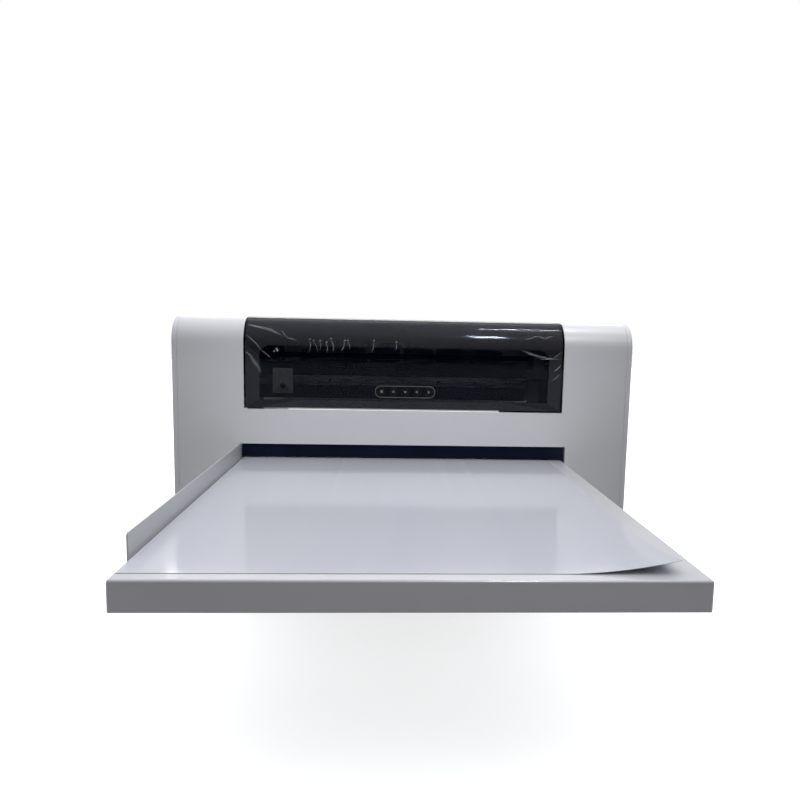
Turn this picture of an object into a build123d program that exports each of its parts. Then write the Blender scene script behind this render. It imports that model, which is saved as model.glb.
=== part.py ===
"""Desktop flatbed UV printer: a bent sheet-metal body with a smoked lid and a sliding, lifting print bed.

Millimetres. +X is to the right as seen from the front, +Y points to the rear and +Z up.
The origin is on the floor, under the middle of the whole machine's box.
Each function returns one sub-part in its place; the table at the end names them all.
"""

import os

from build123d import *

# ---- Overall sizes -------------------------------------------------------------------------
body_width = 640.0
body_depth = 470.0
body_height = 376.0
bend_radius = 37.0  # the front sheet rolls back into the top
skin = 2.0  # sheet thickness of the covers
rim = 7.0  # the side panels wrap this far round on to the front, top and rear
seam = 0.3  # gap between neighbouring covers
rear_reach = 2.2  # how far the mains inlet's flange stands out behind the rear panel

# ---- Print bed -----------------------------------------------------------------------------
bed_top = 180.0  # print surface above the floor
bed_width = 453.0
bed_depth = 560.0
bed_reach = 475.0  # the bed's front lip stands this far ahead of the body
bed_lip = 25.0
bed_sheet = 2.0
bed_edge_radius = 2.5
bed_gap = 1.0  # the bed's clearance to the fence
fence_thickness = 1.5
fence_reach = 425.0  # ahead of the body
fence_tail = 30.0  # behind the body's front, along the chassis wall
lift_travel = 50.0
film_thickness = 0.5
film_setback = 13.5  # the film's front edge behind the bed's front lip
film_side_gap = 2.2  # the film's left edge inside the bed's
film_margin = 20.8  # the film's right edge inside the bed's
film_shield_gap = 1.5  # the film stops this far ahead of the slot shield

# ---- Front openings and lid ----------------------------------------------------------------
slot_height = 20.3  # free height over the bed, under the front strip
shield_thickness = 3.0
shield_setback = 3.0  # the shield's front face behind the front sheet's inner face
shield_rise = 34.0  # how far the shield reaches up behind the front strip
shield_foot_rise = 12.0  # where its mounting block on the front strip begins
shield_end_gap = 1.0
strip_height = 49.4  # the white strip between the slot and the lid
lid_width = 444.6
lid_gap = 0.7
lid_depth = 170.0  # how far back the lid runs on the top
lid_sheet = 3.0
lid_frame_thickness = 2.5
window_side_border = 20.0
window_bottom_border = 12.4
window_corner = 15.0
lid_pivot_inset = 40.0  # the pivot's distance ahead of the lid's rear edge
pivot_drop = 10.0  # the pivot's depth below the top surface
pivot_pin_radius = 3.0
pivot_boss_radius = 6.6
pivot_boss_length = 9.0
running_gap = 0.06  # radial clearance of pins and shafts

# ---- Button strip on the lid ---------------------------------------------------------------
button_count = 5
button_pitch = 16.4
button_radius = 6.0
button_gap = 0.35
button_travel = 1.0
bezel_length = 84.6
bezel_height = 17.4
bezel_proud = 0.8
bezel_rise = 26.2  # its centre above the lid's bottom edge
bezel_inner_depth = 6.0  # how far it stands in behind the lid
bezel_back = 1.6  # the closed back's thickness
bezel_fit = 0.2  # its clearance all round in the lid
button_proud = 0.7
button_dish_radius = 18.0
button_dish_depth = 0.35
button_back_gap = 0.4

# ---- Ink cover -----------------------------------------------------------------------------
ink_cover_width = 390.0
ink_cover_depth = 190.0
ink_cover_setback = 65.0  # the top strip between the lid and the ink cover
ink_pivot_inset = 30.0
finger_dip = (60.0, 16.0, 1.4)  # length, width and depth
finger_dip_inset = 14.0

# ---- Safety switch plate on the lid ----------------------------------------------------------
interlock_width = 27.6
interlock_height = 34.8
interlock_thickness = 2.0
interlock_inset = 52.6  # its centre from the lid's left edge
interlock_rise = 39.0  # its centre above the lid's bottom edge
interlock_hole_radius = 4.0
interlock_hole_drop = 7.0

# ---- Chassis and gantry --------------------------------------------------------------------
foot_height = 14.0
foot_radius = 16.0
foot_inset = 35.0
base_thickness = 3.0
wall_thickness = 3.0
opening_gap = 0.5  # from the fence's outer face to the edge of the body's opening
gantry_front = 190.0  # the beam's front face, behind the body's front
beam_depth = 40.0
beam_height = 60.0
beam_overhang = 60.0  # the beam runs past each chassis wall
rail_width = 15.0
rail_depth = 10.0
carriage_width = 108.0
carriage_depth = 95.0
carriage_height = 99.0
carriage_wall = 2.5
carriage_overhang = 22.0  # the parked carriage runs past the beam's right end
head_clearance = 1.5  # nozzle plate over the bed
carriage_clearance = 6.0
lamp_width = 43.0
lamp_gap = 2.0
head_width = 40.0
head_length = 70.0
head_offset = 13.0  # the head sits right of the carriage's middle
cap_travel = 8.0
cap_gap = 0.3
cap_seal_height = 5.0
sled_half_x = 26.0
sled_half_y = 42.0
guide_post_radius = 3.0
guide_post_offset = 32.0
guide_engagement = 14.0  # how far the guide posts stand in the raised sled
guide_end_gap = 1.0
sled_roof = 1.0  # what is left of the sled over the guide bores

# ---- Ink -----------------------------------------------------------------------------------
damper_count = 6
damper_pitch = 7.6
bottle_count = 6
bottle_pitch = 60.0
bottle_width = 52.0
bottle_depth = 90.0
bottle_height = 78.0
bottle_corner = 5.0
ink_tray_lip = 15.0
ink_tray_wall = 2.0

# ---- Sockets, screws, vents and the fan ------------------------------------------------------
socket_cut = 0.3  # clearance of a socket's body in the panel, each side
flange_thickness = 1.6
inlet_size = (27.0, 20.0)  # width and height of each socket's body
inlet_flange = (48.0, 25.0)
inlet_mouth = (22.0, 15.0)
inlet_depth = 22.0
inlet_mouth_depth = 16.0
rocker_size = (13.0, 20.0)
rocker_flange = (18.0, 25.0)
rocker_mouth = (10.0, 17.0)
port_size = (16.0, 14.0)
port_mouth = (12.0, 10.4)
port_tongue = (8.0, 3.2)
rocker_swing = 16.0
rocker_height = 15.6
rocker_pin_radius = 1.2
shank_radius = 2.0
shank_gap = 0.4
shank_length = 5.0
vent_length = 70.0
vent_height = 4.0
vent_pitch = 11.0
vent_rows = 7
fan_size = 78.0
fan_depth = 25.0
fan_blades = 7
fan_hub_radius = 15.0
fan_slot_rings = (14.0, 21.0, 28.0, 35.0)  # radii of the rear panel's curved slots
fan_slot_width = 3.6
fan_slot_angle = 50.0

# ---- Control board: each block's y, z, width, height and depth from the board's lower rear corner
board_length = 150.0
board_height = 120.0
board_thickness = 1.6
board_chips = (
    (20, 20, 28, 28, 3),
    (70, 24, 16, 16, 2),
    (96, 24, 16, 16, 2),
    (122, 24, 16, 16, 2),
    (40, 70, 34, 34, 12),
)
board_sockets = ((12, 104, 22, 10, 9), (44, 108, 30, 8, 8), (84, 108, 30, 8, 8), (122, 104, 18, 10, 9))
board_post_inset = 8.0
board_post_length = 6.0
board_post_radius = 3.0

# ---- Belts, screws and motors --------------------------------------------------------------
belt_thickness = 1.4
belt_gap = 0.3
carriage_belt_width = 8.0
carriage_pulley_radius = 7.0
bed_belt_width = 9.0
bed_pulley_radius = 6.4
lift_belt_width = 6.0
lift_pulley_radius = 6.4
motor_side = 42.0
motor_length = 40.0
motor_shaft_radius = 2.5
screw_radius = 4.0
screw_inset = 31.5  # screw axis inside the bed's edge
guide_height = 28.0  # bed rail and bearing block together
bed_rail_height = 15.0
bed_rail_width = 15.0
block_lift = 4.3
block_width = 34.0
block_length = 58.0
stiffener_height = 12.0
carrier_width = 36.0
carrier_height = 30.0
carrier_wall = 4.0
carrier_roof = 6.0
carrier_nose = 20.0  # the solid stretch at the carrier's front end
carrier_reach = 255.0  # the rail carriers run this far ahead of the body
crossbeam_height = 20.0
crossbeam_depth = 20.0
carrier_x = 150.0

# ---- Places worked out from the sizes above ------------------------------------------------
half_width = body_width / 2
front_y = (bed_reach - body_depth - rear_reach) / 2
back_y = front_y + body_depth
deck = foot_height + base_thickness
side_inner = half_width - skin
wall_x = bed_width / 2 + bed_gap + fence_thickness
opening_half = wall_x + opening_gap
slot_top = bed_top + slot_height
lid_bottom = slot_top + strip_height
lid_rear = front_y + lid_depth
lid_half = lid_width / 2
lid_pivot_y = lid_rear - lid_pivot_inset
pivot_z = body_height - pivot_drop
bed_front = front_y - bed_reach
bed_rear = bed_front + bed_depth
beam_front_y = front_y + gantry_front
beam_rear_y = beam_front_y + beam_depth
beam_half = wall_x + beam_overhang
rail_z = bed_top + 96.0
beam_z0 = rail_z - beam_height / 2
beam_z1 = rail_z + beam_height / 2
carriage_x1 = beam_half + carriage_overhang
carriage_x0 = carriage_x1 - carriage_width
carriage_x = (carriage_x0 + carriage_x1) / 2
carriage_y1 = beam_front_y - 27.0
carriage_y0 = carriage_y1 - carriage_depth
carriage_z0 = bed_top + carriage_clearance
head_x = carriage_x + head_offset
head_y = (carriage_y0 + carriage_y1) / 2
head_z0 = bed_top + head_clearance
stiffener_z0 = bed_top - bed_sheet - stiffener_height
bed_rail_z0 = stiffener_z0 - guide_height
carrier_z0 = bed_rail_z0 - carrier_height
crossbeam_z0 = carrier_z0 - crossbeam_height
carrier_front = front_y - carrier_reach
carrier_rear = back_y - 15.0
screw_x = bed_width / 2 - screw_inset
screw_front_y = front_y + 40.0
screw_rear_y = back_y - 25.0
bed_pulley_z = carrier_z0 + carrier_height / 2
bed_motor_y = screw_rear_y - 40.0
bed_idler_y = carrier_front + 30.0
carriage_pulley_z = beam_z1 + 10.0
carriage_pulley_x = beam_half - 8.0
carriage_pulley_y = beam_front_y + beam_depth / 2
lift_motor_y = (screw_front_y + screw_rear_y) / 2
ink_cover_front = lid_rear + ink_cover_setback
ink_cover_rear = ink_cover_front + ink_cover_depth
ink_pivot_y = ink_cover_rear - ink_pivot_inset
fan_x = -(wall_x + wall_thickness + side_inner) / 2
fan_z = rail_z + 24.0
socket_x = -fan_x
bezel_z = lid_bottom + bezel_rise
inlet_z = foot_height + 46.0
switch_z = inlet_z + 36.0
port_z = switch_z + 38.0
rocker_y = back_y - 3.5
lift_belt_z = deck + 3.0 + lift_belt_width / 2 + 1.8
bracket_z0 = carriage_pulley_z + carriage_belt_width / 2 + 4.0
cap_top = head_z0 - cap_gap
guide_bore_depth = guide_engagement + cap_travel + guide_end_gap
sled_z0 = cap_top - cap_seal_height - guide_bore_depth - sled_roof
shield_y0 = front_y + skin + shield_setback
bezel_depth = lid_sheet + bezel_proud + bezel_inner_depth
bezel_front_y = front_y - bezel_proud


# ---- Small makers --------------------------------------------------------------------------
def block(x0, x1, y0, y1, z0, z1):
    """A box between two corners."""
    return Pos((x0 + x1) / 2, (y0 + y1) / 2, (z0 + z1) / 2) * Box(x1 - x0, y1 - y0, z1 - z0)


def post(x, y, z0, z1, radius):
    """An upright cylinder."""
    return Pos(x, y, (z0 + z1) / 2) * Cylinder(radius, z1 - z0)


def bar_x(x0, x1, y, z, radius):
    """A cylinder along X."""
    return Pos((x0 + x1) / 2, y, z) * Rot(0, 90, 0) * Cylinder(radius, x1 - x0)


def bar_y(x, y0, y1, z, radius):
    """A cylinder along Y."""
    return Pos(x, (y0 + y1) / 2, z) * Rot(90, 0, 0) * Cylinder(radius, y1 - y0)


def rear_block(size, centre_z, y0, y1):
    """A box on the sockets' line in the rear panel, from its width and height."""
    width, height = size
    x0, x1 = socket_x - width / 2, socket_x + width / 2
    return block(x0, x1, y0, y1, centre_z - height / 2, centre_z + height / 2)


def grown(size, gap):
    """A width and height with a gap added on every side."""
    return [extent + 2 * gap for extent in size]


def rounded(solid, axis, radius):
    """The solid with its edges along one axis rounded."""
    return fillet(solid.edges().filter_by(axis), radius)


def side_outline(inset, bottom, rear):
    """The body's side profile, inset evenly from its outside, with the rolled front top corner."""
    low_y, high_y = front_y + inset, rear
    top = body_height - inset
    face = Pos((low_y + high_y) / 2, (bottom + top) / 2) * Rectangle(high_y - low_y, top - bottom)
    corner = face.vertices().group_by(Axis.Y)[-1].sort_by(Axis.X)[0]
    return Plane.YZ * fillet(corner, bend_radius - inset)


def side_slab(inset, bottom, rear, x0, x1):
    """The side profile as a slab from x0 to x1."""
    return Pos(x0, 0, 0) * extrude(side_outline(inset, bottom, rear), x1 - x0)


def belt_loop(x_a, y_a, x_b, y_b, radius, width):
    """A belt round two equal upright pulleys, in the XY plane, its width along Z about z = 0."""
    span = ((x_b - x_a) ** 2 + (y_b - y_a) ** 2) ** 0.5
    turn = Rot(0, 0, 0) if abs(x_b - x_a) > abs(y_b - y_a) else Rot(0, 0, 90)
    outer = SlotCenterToCenter(span, 2 * (radius + belt_gap + belt_thickness))
    inner = SlotCenterToCenter(span, 2 * (radius + belt_gap))
    loop = extrude(outer - inner, width / 2, both=True)
    return Pos((x_a + x_b) / 2, (y_a + y_b) / 2, 0) * turn * loop


def pulley(radius, width, bore):
    """A flanged belt pulley along Z about z = 0, with its bore."""
    flange = 1.2
    body = Cylinder(radius, width + 2 * belt_gap)
    for side in (-1, 1):
        body += Pos(0, 0, side * (width / 2 + belt_gap + flange / 2)) * Cylinder(radius + 2.4, flange)
    return body - Cylinder(bore, width * 3)


def stepper(shaft_out):
    """A square stepper motor along Z: its front face is at z = 0, its body below and its shaft above."""
    body = rounded(Pos(0, 0, -motor_length / 2) * Box(motor_side, motor_side, motor_length), Axis.Z, 4.0)
    body += Pos(0, 0, 1.0) * Cylinder(11.0, 2.0)
    return body + Pos(0, 0, shaft_out / 2) * Cylinder(motor_shaft_radius, shaft_out)


# ---- Body shells ---------------------------------------------------------------------------
def base_plate():
    x1 = side_inner - seam
    plate = block(-x1, x1, front_y + skin + seam, back_y - skin - seam, foot_height, deck)
    for x in (-screw_x, screw_x):
        for y in (screw_front_y, screw_rear_y):
            plate -= post(x, y, 0, deck + 1, screw_radius + running_gap)
    return plate


def rubber_feet():
    feet = []
    for x in (-half_width + foot_inset, half_width - foot_inset):
        for y in (front_y + foot_inset, back_y - foot_inset):
            foot = post(x, y, 0, foot_height, foot_radius)
            feet.append(fillet(foot.edges().group_by(Axis.Z)[0], 2.0))
    return feet


def side_screw_places():
    """Where the screws go through each side panel, as y and z."""
    return [
        (front_y + 18.0, bed_top + 4.0),
        (front_y + 18.0, bed_top - 22.0),
        (front_y + 60.0, body_height - 30.0),
        (back_y - 18.0, body_height - 30.0),
        (back_y - 18.0, foot_height + 40.0),
    ]


def rear_screw_places():
    """Where the screws go through the rear panel, as x and z."""
    corners = (-half_width + 24.0, half_width - 24.0)
    return [(x, z) for x in corners for z in (foot_height + 22.0, body_height - 22.0)]


def side_panel(side):
    """A pressed pan: a flat side with a rim that wraps round the front, top, rear and bottom."""
    pan = side_slab(0, foot_height, back_y, half_width - rim, half_width)
    outer = [e for e in pan.edges() if abs(e.center().X - half_width) < 0.01]
    pan = fillet(outer, 1.8)
    pan -= side_slab(skin, foot_height + skin, back_y - skin, half_width - rim - 1, half_width - skin)
    inner = half_width - skin
    pan -= block(half_width - rim - 1, inner, front_y + skin, back_y - skin, 0, foot_height + skin + 1)
    vent = extrude(Plane.YZ * SlotOverall(vent_length, vent_height), 3 * rim, both=True)
    for row in range(vent_rows):
        pan -= Pos(half_width, back_y - 110, foot_height + 75 + row * vent_pitch) * vent
    for y, z in side_screw_places():
        pan -= bar_x(half_width - skin - 1, half_width + 1, y, z, shank_radius + shank_gap)
    return pan if side > 0 else mirror(pan, Plane.YZ)


def front_hood():
    """The front and top in one bent sheet, with the bed's opening, the lid's and the ink cover's."""
    x1 = half_width - rim - seam
    sheet = side_slab(0, foot_height, back_y - skin - seam, -x1, x1)
    sheet -= side_slab(skin, 0, back_y + 1, -x1 - 1, x1 + 1)
    sheet -= block(-opening_half, opening_half, front_y - 1, front_y + skin + 1, 0, slot_top)
    lid_cut_y = lid_rear + 2 * lid_gap
    lid_cut_z = lid_bottom - lid_gap
    lid_cut_half = lid_half + lid_gap
    sheet -= block(-lid_cut_half, lid_cut_half, front_y - 1, lid_cut_y, lid_cut_z, body_height + 1)
    cover_half = ink_cover_width / 2 + lid_gap
    sheet -= block(
        -cover_half,
        cover_half,
        ink_cover_front - lid_gap,
        ink_cover_rear + 2 * lid_gap,
        body_height - skin - 1,
        body_height + 1,
    )
    return sheet


def rear_panel():
    """The flat rear sheet with the bed's outlet, fan slots and the cut-outs for sockets and switch."""
    x1 = half_width - rim - seam
    panel = block(-x1, x1, back_y - skin, back_y, foot_height + skin + seam, body_height - skin - seam)
    outlet_z = bed_top - bed_lip - lift_travel - 5.0
    panel -= block(-opening_half, opening_half, back_y - 9, back_y + 1, outlet_z, slot_top)
    for ring_radius in fan_slot_rings:
        arc = CenterArc((0, 0), ring_radius, (90 - fan_slot_angle) / 2, fan_slot_angle)
        slot = extrude(trace(arc, fan_slot_width), 10, both=True)
        for quarter in range(4):
            panel -= Pos(fan_x, back_y, fan_z) * Rot(90, 0, 0) * Rot(0, 0, 90 * quarter) * slot
    for x, z in rear_screw_places():
        panel -= bar_y(x, back_y - skin - 1, back_y + 1, z, shank_radius + shank_gap)
    for size, centre_z in ((inlet_size, inlet_z), (rocker_size, switch_z), (port_size, port_z)):
        panel -= rear_block(grown(size, socket_cut), centre_z, back_y - 9, back_y + 1)
    return panel


def chassis_walls():
    """Two steel side plates that flank the bed, stepped down where the carriage passes over."""
    y0, y1 = front_y + skin + 3.0, back_y - skin - 3.0
    low_y0, low_y1 = carriage_y0 - 10.0, beam_front_y - 1.0
    plates = []
    for side in (-1, 1):
        x0, x1 = sorted((side * wall_x, side * (wall_x + wall_thickness)))
        plate = block(x0, x1, y0, y1, deck, beam_z0)
        plate -= block(x0 - 1, x1 + 1, low_y0, low_y1, bed_top - 4.0, beam_z0 + 1)
        plates.append(plate)
    return plates


def slot_shield():
    """A dark strip behind the slot's top edge that keeps stray UV light inside."""
    x0 = -(bed_width + bed_gap) / 2
    x1 = opening_half - shield_end_gap
    top = slot_top + shield_rise
    strip = block(x0, x1, shield_y0, shield_y0 + shield_thickness, head_z0, top)
    strip += block(x0, x1, front_y + skin, shield_y0, slot_top + shield_foot_rise, top)
    return fillet(strip.edges().filter_by(Axis.X).group_by(Axis.Z)[0], 1.0)


def left_fence():
    """The straight guide beside the bed, fixed to the inner face of the left chassis wall."""
    x0, x1 = -wall_x, -wall_x + fence_thickness
    z0, z1 = bed_top - bed_lip - 4.0, slot_top - seam
    plate = block(x0, x1, front_y - fence_reach, front_y + fence_tail, z0, z1)
    front_top = plate.edges().filter_by(Axis.X).group_by(Axis.Y)[0]
    return fillet(front_top, 3.0)


def screw_head():
    """A pan-head screw along Z: the head stands on z = 0 and the shank hangs below it."""
    head = Pos(0, 0, 0.9) * Cylinder(4.5, 1.8)
    head = fillet(head.edges().group_by(Axis.Z)[-1], 0.9)
    recess = extrude(RegularPolygon(1.9, 6), 1.2)
    shank = Pos(0, 0, -shank_length / 2) * Cylinder(shank_radius, shank_length)
    return head - Pos(0, 0, 0.9) * recess + shank


def cover_screws():
    """The screws of the side panels and the rear panel."""
    screws = []
    for side in (-1, 1):
        for y, z in side_screw_places():
            screws.append(Pos(side * half_width, y, z) * Rot(0, 90 * side, 0) * screw_head())
    for x, z in rear_screw_places():
        screws.append(Pos(x, back_y, z) * Rot(-90, 0, 0) * screw_head())
    return screws


# ---- Lid and ink cover ---------------------------------------------------------------------
def cover_sheet(inset, thickness, half, bottom, rear):
    """A stretch of the body's rolled profile, from an inset inwards to its thickness."""
    outer = side_slab(inset, bottom, rear, -half, half)
    return outer - side_slab(inset + thickness, bottom - 1, rear + 1, -half - 1, half + 1)


def pill(length, height, depth):
    """A pill-shaped bar along Y, centred."""
    return Rot(90, 0, 0) * extrude(SlotOverall(length, height), depth / 2, both=True)


def lid_window():
    """The smoked front sheet, flush with the body, with a pill-shaped hole for the button strip."""
    sheet = cover_sheet(0, lid_sheet, lid_half, lid_bottom, lid_rear)
    low = [e for e in sheet.edges().filter_by(Axis.Y) if e.center().Z < lid_bottom + 0.1]
    sheet = fillet(low, 2.0)
    hole = pill(bezel_length + 2 * bezel_fit, bezel_height + 2 * bezel_fit, 4 * lid_sheet)
    return sheet - Pos(0, front_y, bezel_z) * hole


def lid_frame():
    """The dark liner behind the lid: a border round the clear window, closed over the roll and the top."""
    half = lid_half - 1.5
    liner = cover_sheet(lid_sheet, lid_frame_thickness, half, lid_bottom + 1.5, lid_rear - 1.0)
    window_half = lid_half - window_side_border
    window_z0 = lid_bottom + window_bottom_border
    window_z1 = body_height - bend_radius - 2.0
    hole = block(-window_half, window_half, front_y - 1, front_y + 12, window_z0, window_z1)
    hole = fillet(hole.edges().filter_by(Axis.Y).group_by(Axis.Z)[-1], window_corner)
    liner -= hole
    for side in (-1, 1):
        x_out = half
        x_in = half - pivot_boss_length
        x0, x1 = sorted((side * x_in, side * x_out))
        boss = bar_x(x0, x1, lid_pivot_y, pivot_z, pivot_boss_radius)
        rib_z0 = pivot_z - pivot_boss_radius + 2.0
        rib = block(x0, x1, lid_pivot_y - 16.0, lid_pivot_y + 16.0, rib_z0, body_height - lid_sheet - 1.0)
        liner += boss + rib
        liner -= bar_x(x0 - 1, x1 + 1, lid_pivot_y, pivot_z, pivot_pin_radius + running_gap)
    return liner


def cover_pivots():
    """Brackets under the top sheet, with the pins on which the lid and the ink cover swing."""
    pieces = []
    swings = (
        (lid_half - 1.5, lid_pivot_y),
        (ink_cover_width / 2 - 1.5, ink_pivot_y),
    )
    for half, y in swings:
        for side in (-1, 1):
            inner, outer = half + 4.5, half + 8.5
            x0, x1 = sorted((side * inner, side * outer))
            bracket = block(x0, x1, y - 12, y + 12, pivot_z - 8.0, body_height - skin)
            bracket = fillet(bracket.edges().filter_by(Axis.X).group_by(Axis.Z)[0], 5.0)
            p0, p1 = sorted((side * (half - pivot_boss_length), side * inner))
            pieces.append(bracket + bar_x(p0, p1, y, pivot_z, pivot_pin_radius))
    return pieces


def ink_cover():
    """The rear top cover over the ink bottles, with two pivot bosses and a shallow finger dip."""
    half = ink_cover_width / 2
    top = body_height
    sheet = block(-half, half, ink_cover_front, ink_cover_rear, top - lid_sheet, top)
    sheet = fillet(sheet.edges().filter_by(Axis.Z), 2.0)
    dip_length, dip_width, dip_depth = finger_dip
    dip = extrude(SlotOverall(dip_length, dip_width), dip_depth, both=True)
    sheet -= Pos(0, ink_cover_front + finger_dip_inset, top) * dip
    for side in (-1, 1):
        x0, x1 = sorted((side * (half - 1.5 - pivot_boss_length), side * (half - 1.5)))
        boss = bar_x(x0, x1, ink_pivot_y, pivot_z, pivot_boss_radius)
        rib = block(
            x0, x1, ink_pivot_y - 14, ink_pivot_y + 14, pivot_z - pivot_boss_radius + 2, top - lid_sheet / 2
        )
        sheet += boss + rib
        sheet -= bar_x(x0 - 1, x1 + 1, ink_pivot_y, pivot_z, pivot_pin_radius + running_gap)
    return sheet


def button_places():
    first = -button_pitch * (button_count - 1) / 2
    return [first + i * button_pitch for i in range(button_count)]


def button_bezel():
    """The pill-shaped frame through the lid, with a hole for each button and a closed back."""
    centre_y = bezel_front_y + bezel_depth / 2
    body = Pos(0, centre_y, bezel_z) * pill(bezel_length, bezel_height, bezel_depth)
    front = body.edges().group_by(Axis.Y)[0]
    body = fillet(front, 0.5)
    well_y = bezel_front_y + bezel_depth - bezel_back
    for x in button_places():
        body -= bar_y(x, bezel_front_y - 1, well_y, bezel_z, button_radius + button_gap)
    return body


def button(x):
    """A round push button with a dished face, in its hole of the bezel."""
    face_y = bezel_front_y - button_proud
    rear = bezel_front_y + bezel_depth - bezel_back - button_travel - button_back_gap
    body = bar_y(x, face_y, rear, bezel_z, button_radius)
    body = fillet(body.edges().group_by(Axis.Y)[0], 0.6)
    dish_y = face_y - button_dish_radius + button_dish_depth
    return body - Pos(x, dish_y, bezel_z) * Sphere(button_dish_radius)


def interlock_plate():
    """The small grey plate on the inside of the lid that works the safety switch."""
    x, z = -lid_half + interlock_inset, lid_bottom + interlock_rise
    y0 = front_y + lid_sheet
    y1 = y0 + interlock_thickness
    half_x, half_z = interlock_width / 2, interlock_height / 2
    plate = block(x - half_x, x + half_x, y0, y1, z - half_z, z + half_z)
    plate = fillet(plate.edges().filter_by(Axis.Y), 2.0)
    return plate - bar_y(x, y0 - 1, y1 + 1, z - interlock_hole_drop, interlock_hole_radius)


# ---- Gantry and carriage -------------------------------------------------------------------
def gantry_beam():
    """A hollow extrusion across the machine, with a groove along its top and bottom."""
    beam = block(-beam_half, beam_half, beam_front_y, beam_rear_y, beam_z0, beam_z1)
    wall, deep_wall = 3.5, 9.0
    y0, y1 = beam_front_y + wall, beam_rear_y - wall
    beam -= block(-beam_half - 1, beam_half + 1, y0, y1, beam_z0 + deep_wall, beam_z1 - deep_wall)
    mid_y = (beam_front_y + beam_rear_y) / 2
    for z0, z1 in ((beam_z0 - 1, beam_z0 + 5), (beam_z1 - 5, beam_z1 + 1)):
        beam -= block(-beam_half - 1, beam_half + 1, mid_y - 4, mid_y + 4, z0, z1)
    return beam


def guide_rail():
    """The carriage's steel rail, with a row of counterbored screw holes."""
    y0, y1 = beam_front_y - rail_depth, beam_front_y
    half = beam_half - 6.0
    rail = block(-half, half, y0, y1, rail_z - rail_width / 2, rail_z + rail_width / 2)
    groove = 1.6
    for z in (rail_z - rail_width / 2, rail_z + rail_width / 2):
        rail -= bar_x(-half - 1, half + 1, y0 + 4.5, z, groove)
    pitch = 60.0
    count = int((2 * half - 30) // pitch) + 1
    for i in range(count):
        x = (i - (count - 1) / 2) * pitch
        rail -= bar_y(x, y0 - 1, y0 + 4.5, rail_z, 3.0)
        rail -= bar_y(x, y0 - 1, y1 + 1, rail_z, 1.75)
    return rail


def carriage_plate():
    """The carriage's back plate with its bearing block on the rail and the arm that grips the belt."""
    plate_y1 = carriage_y1 + 4.0
    plate = block(carriage_x0, carriage_x1, carriage_y1, plate_y1, carriage_z0 + 14.0, beam_z1 - 6.0)
    block_y1 = beam_front_y - 3.0
    body = block(carriage_x - 30, carriage_x + 30, plate_y1, block_y1, rail_z - 17.0, rail_z + 17.0)
    channel = rail_width / 2 + 0.4
    body -= block(
        carriage_x - 31,
        carriage_x + 31,
        beam_front_y - rail_depth - 0.4,
        block_y1 + 1,
        rail_z - channel,
        rail_z + channel,
    )
    arm_x0, arm_x1 = carriage_x0 + 10.0, carriage_x0 + 30.0
    arm_z0 = beam_z1 + 3.0
    arm_z1 = carriage_pulley_z + carriage_belt_width / 2 + 3.0
    belt_y = carriage_pulley_y - carriage_pulley_radius - belt_gap - belt_thickness
    plate += block(arm_x0, arm_x1, carriage_y1, plate_y1, beam_z1 - 7.0, arm_z1)
    arm = block(arm_x0, arm_x1, carriage_y1, belt_y + belt_thickness + 2.5, arm_z0, arm_z1)
    slot_low = carriage_pulley_z - carriage_belt_width / 2 - 0.4
    arm -= block(arm_x0 - 1, arm_x1 + 1, belt_y - 0.4, belt_y + belt_thickness + 0.4, slot_low, arm_z1 + 1)
    return plate + body + arm


def carriage_shell():
    """The carriage's open-topped housing, with the head's opening in its floor."""
    z1 = carriage_z0 + carriage_height
    body = block(carriage_x0, carriage_x1, carriage_y0, carriage_y1, carriage_z0, z1)
    body = rounded(body, Axis.Z, 6.0)
    body -= block(
        carriage_x0 + carriage_wall,
        carriage_x1 - carriage_wall,
        carriage_y0 + carriage_wall,
        carriage_y1 - carriage_wall,
        carriage_z0 + carriage_wall,
        z1 + 1,
    )
    body -= block(
        head_x - head_width / 2 - 0.5,
        head_x + head_width / 2 + 0.5,
        head_y - head_length / 2 - 0.5,
        head_y + head_length / 2 + 0.5,
        carriage_z0 - 1,
        carriage_z0 + carriage_wall + 1,
    )
    return body


def print_head():
    """The print head: a nozzle plate below a wider body that rests on the carriage's floor."""
    x0, x1 = head_x - head_width / 2, head_x + head_width / 2
    y0, y1 = head_y - head_length / 2, head_y + head_length / 2
    floor = carriage_z0 + carriage_wall
    nozzle = block(x0, x1, y0, y1, head_z0, floor + 6.0)
    body = block(x0 - 6, x1 + 6, y0 - 4, y1 + 4, floor, floor + 24.0)
    return rounded(nozzle, Axis.Z, 2.0) + rounded(body, Axis.Z, 2.0)


def ink_dampers():
    """Six flat ink dampers standing side by side on the head."""
    z0 = carriage_z0 + carriage_wall + 24.0
    dampers = []
    for i in range(damper_count):
        x = head_x + (i - (damper_count - 1) / 2) * damper_pitch
        body = block(x - 3.2, x + 3.2, head_y - 22, head_y + 26, z0, z0 + 40)
        body = rounded(body, Axis.X, 4.0)
        dampers.append(body + post(x, head_y + 12, z0 + 39, z0 + 50, 2.2))
    return dampers


def uv_lamp():
    """The finned LED lamp on the carriage's left side, with its mounting ear and light window."""
    x1 = carriage_x0 - lamp_gap
    x0 = x1 - lamp_width
    y0, y1 = carriage_y0 + 6.0, carriage_y1 - 4.0
    z0 = carriage_z0 - 2.0
    base = block(x0, x1, y0, y1, z0 + 3.0, z0 + 24.0)
    base += block(x0 + 6, x1 - 6, y0 + 8, y1 - 8, z0, z0 + 4.0)
    fin_count = 9
    for i in range(fin_count):
        y = y0 + 2.0 + i * (y1 - y0 - 4.0) / (fin_count - 1)
        base += block(x0, x1, y - 1.1, y + 1.1, z0 + 23.0, z0 + 62.0)
    base += block(x1 - 0.5, x1 + lamp_gap, y0 + 20, y1 - 20, z0 + 5.0, z0 + 20.0)
    return base


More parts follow.
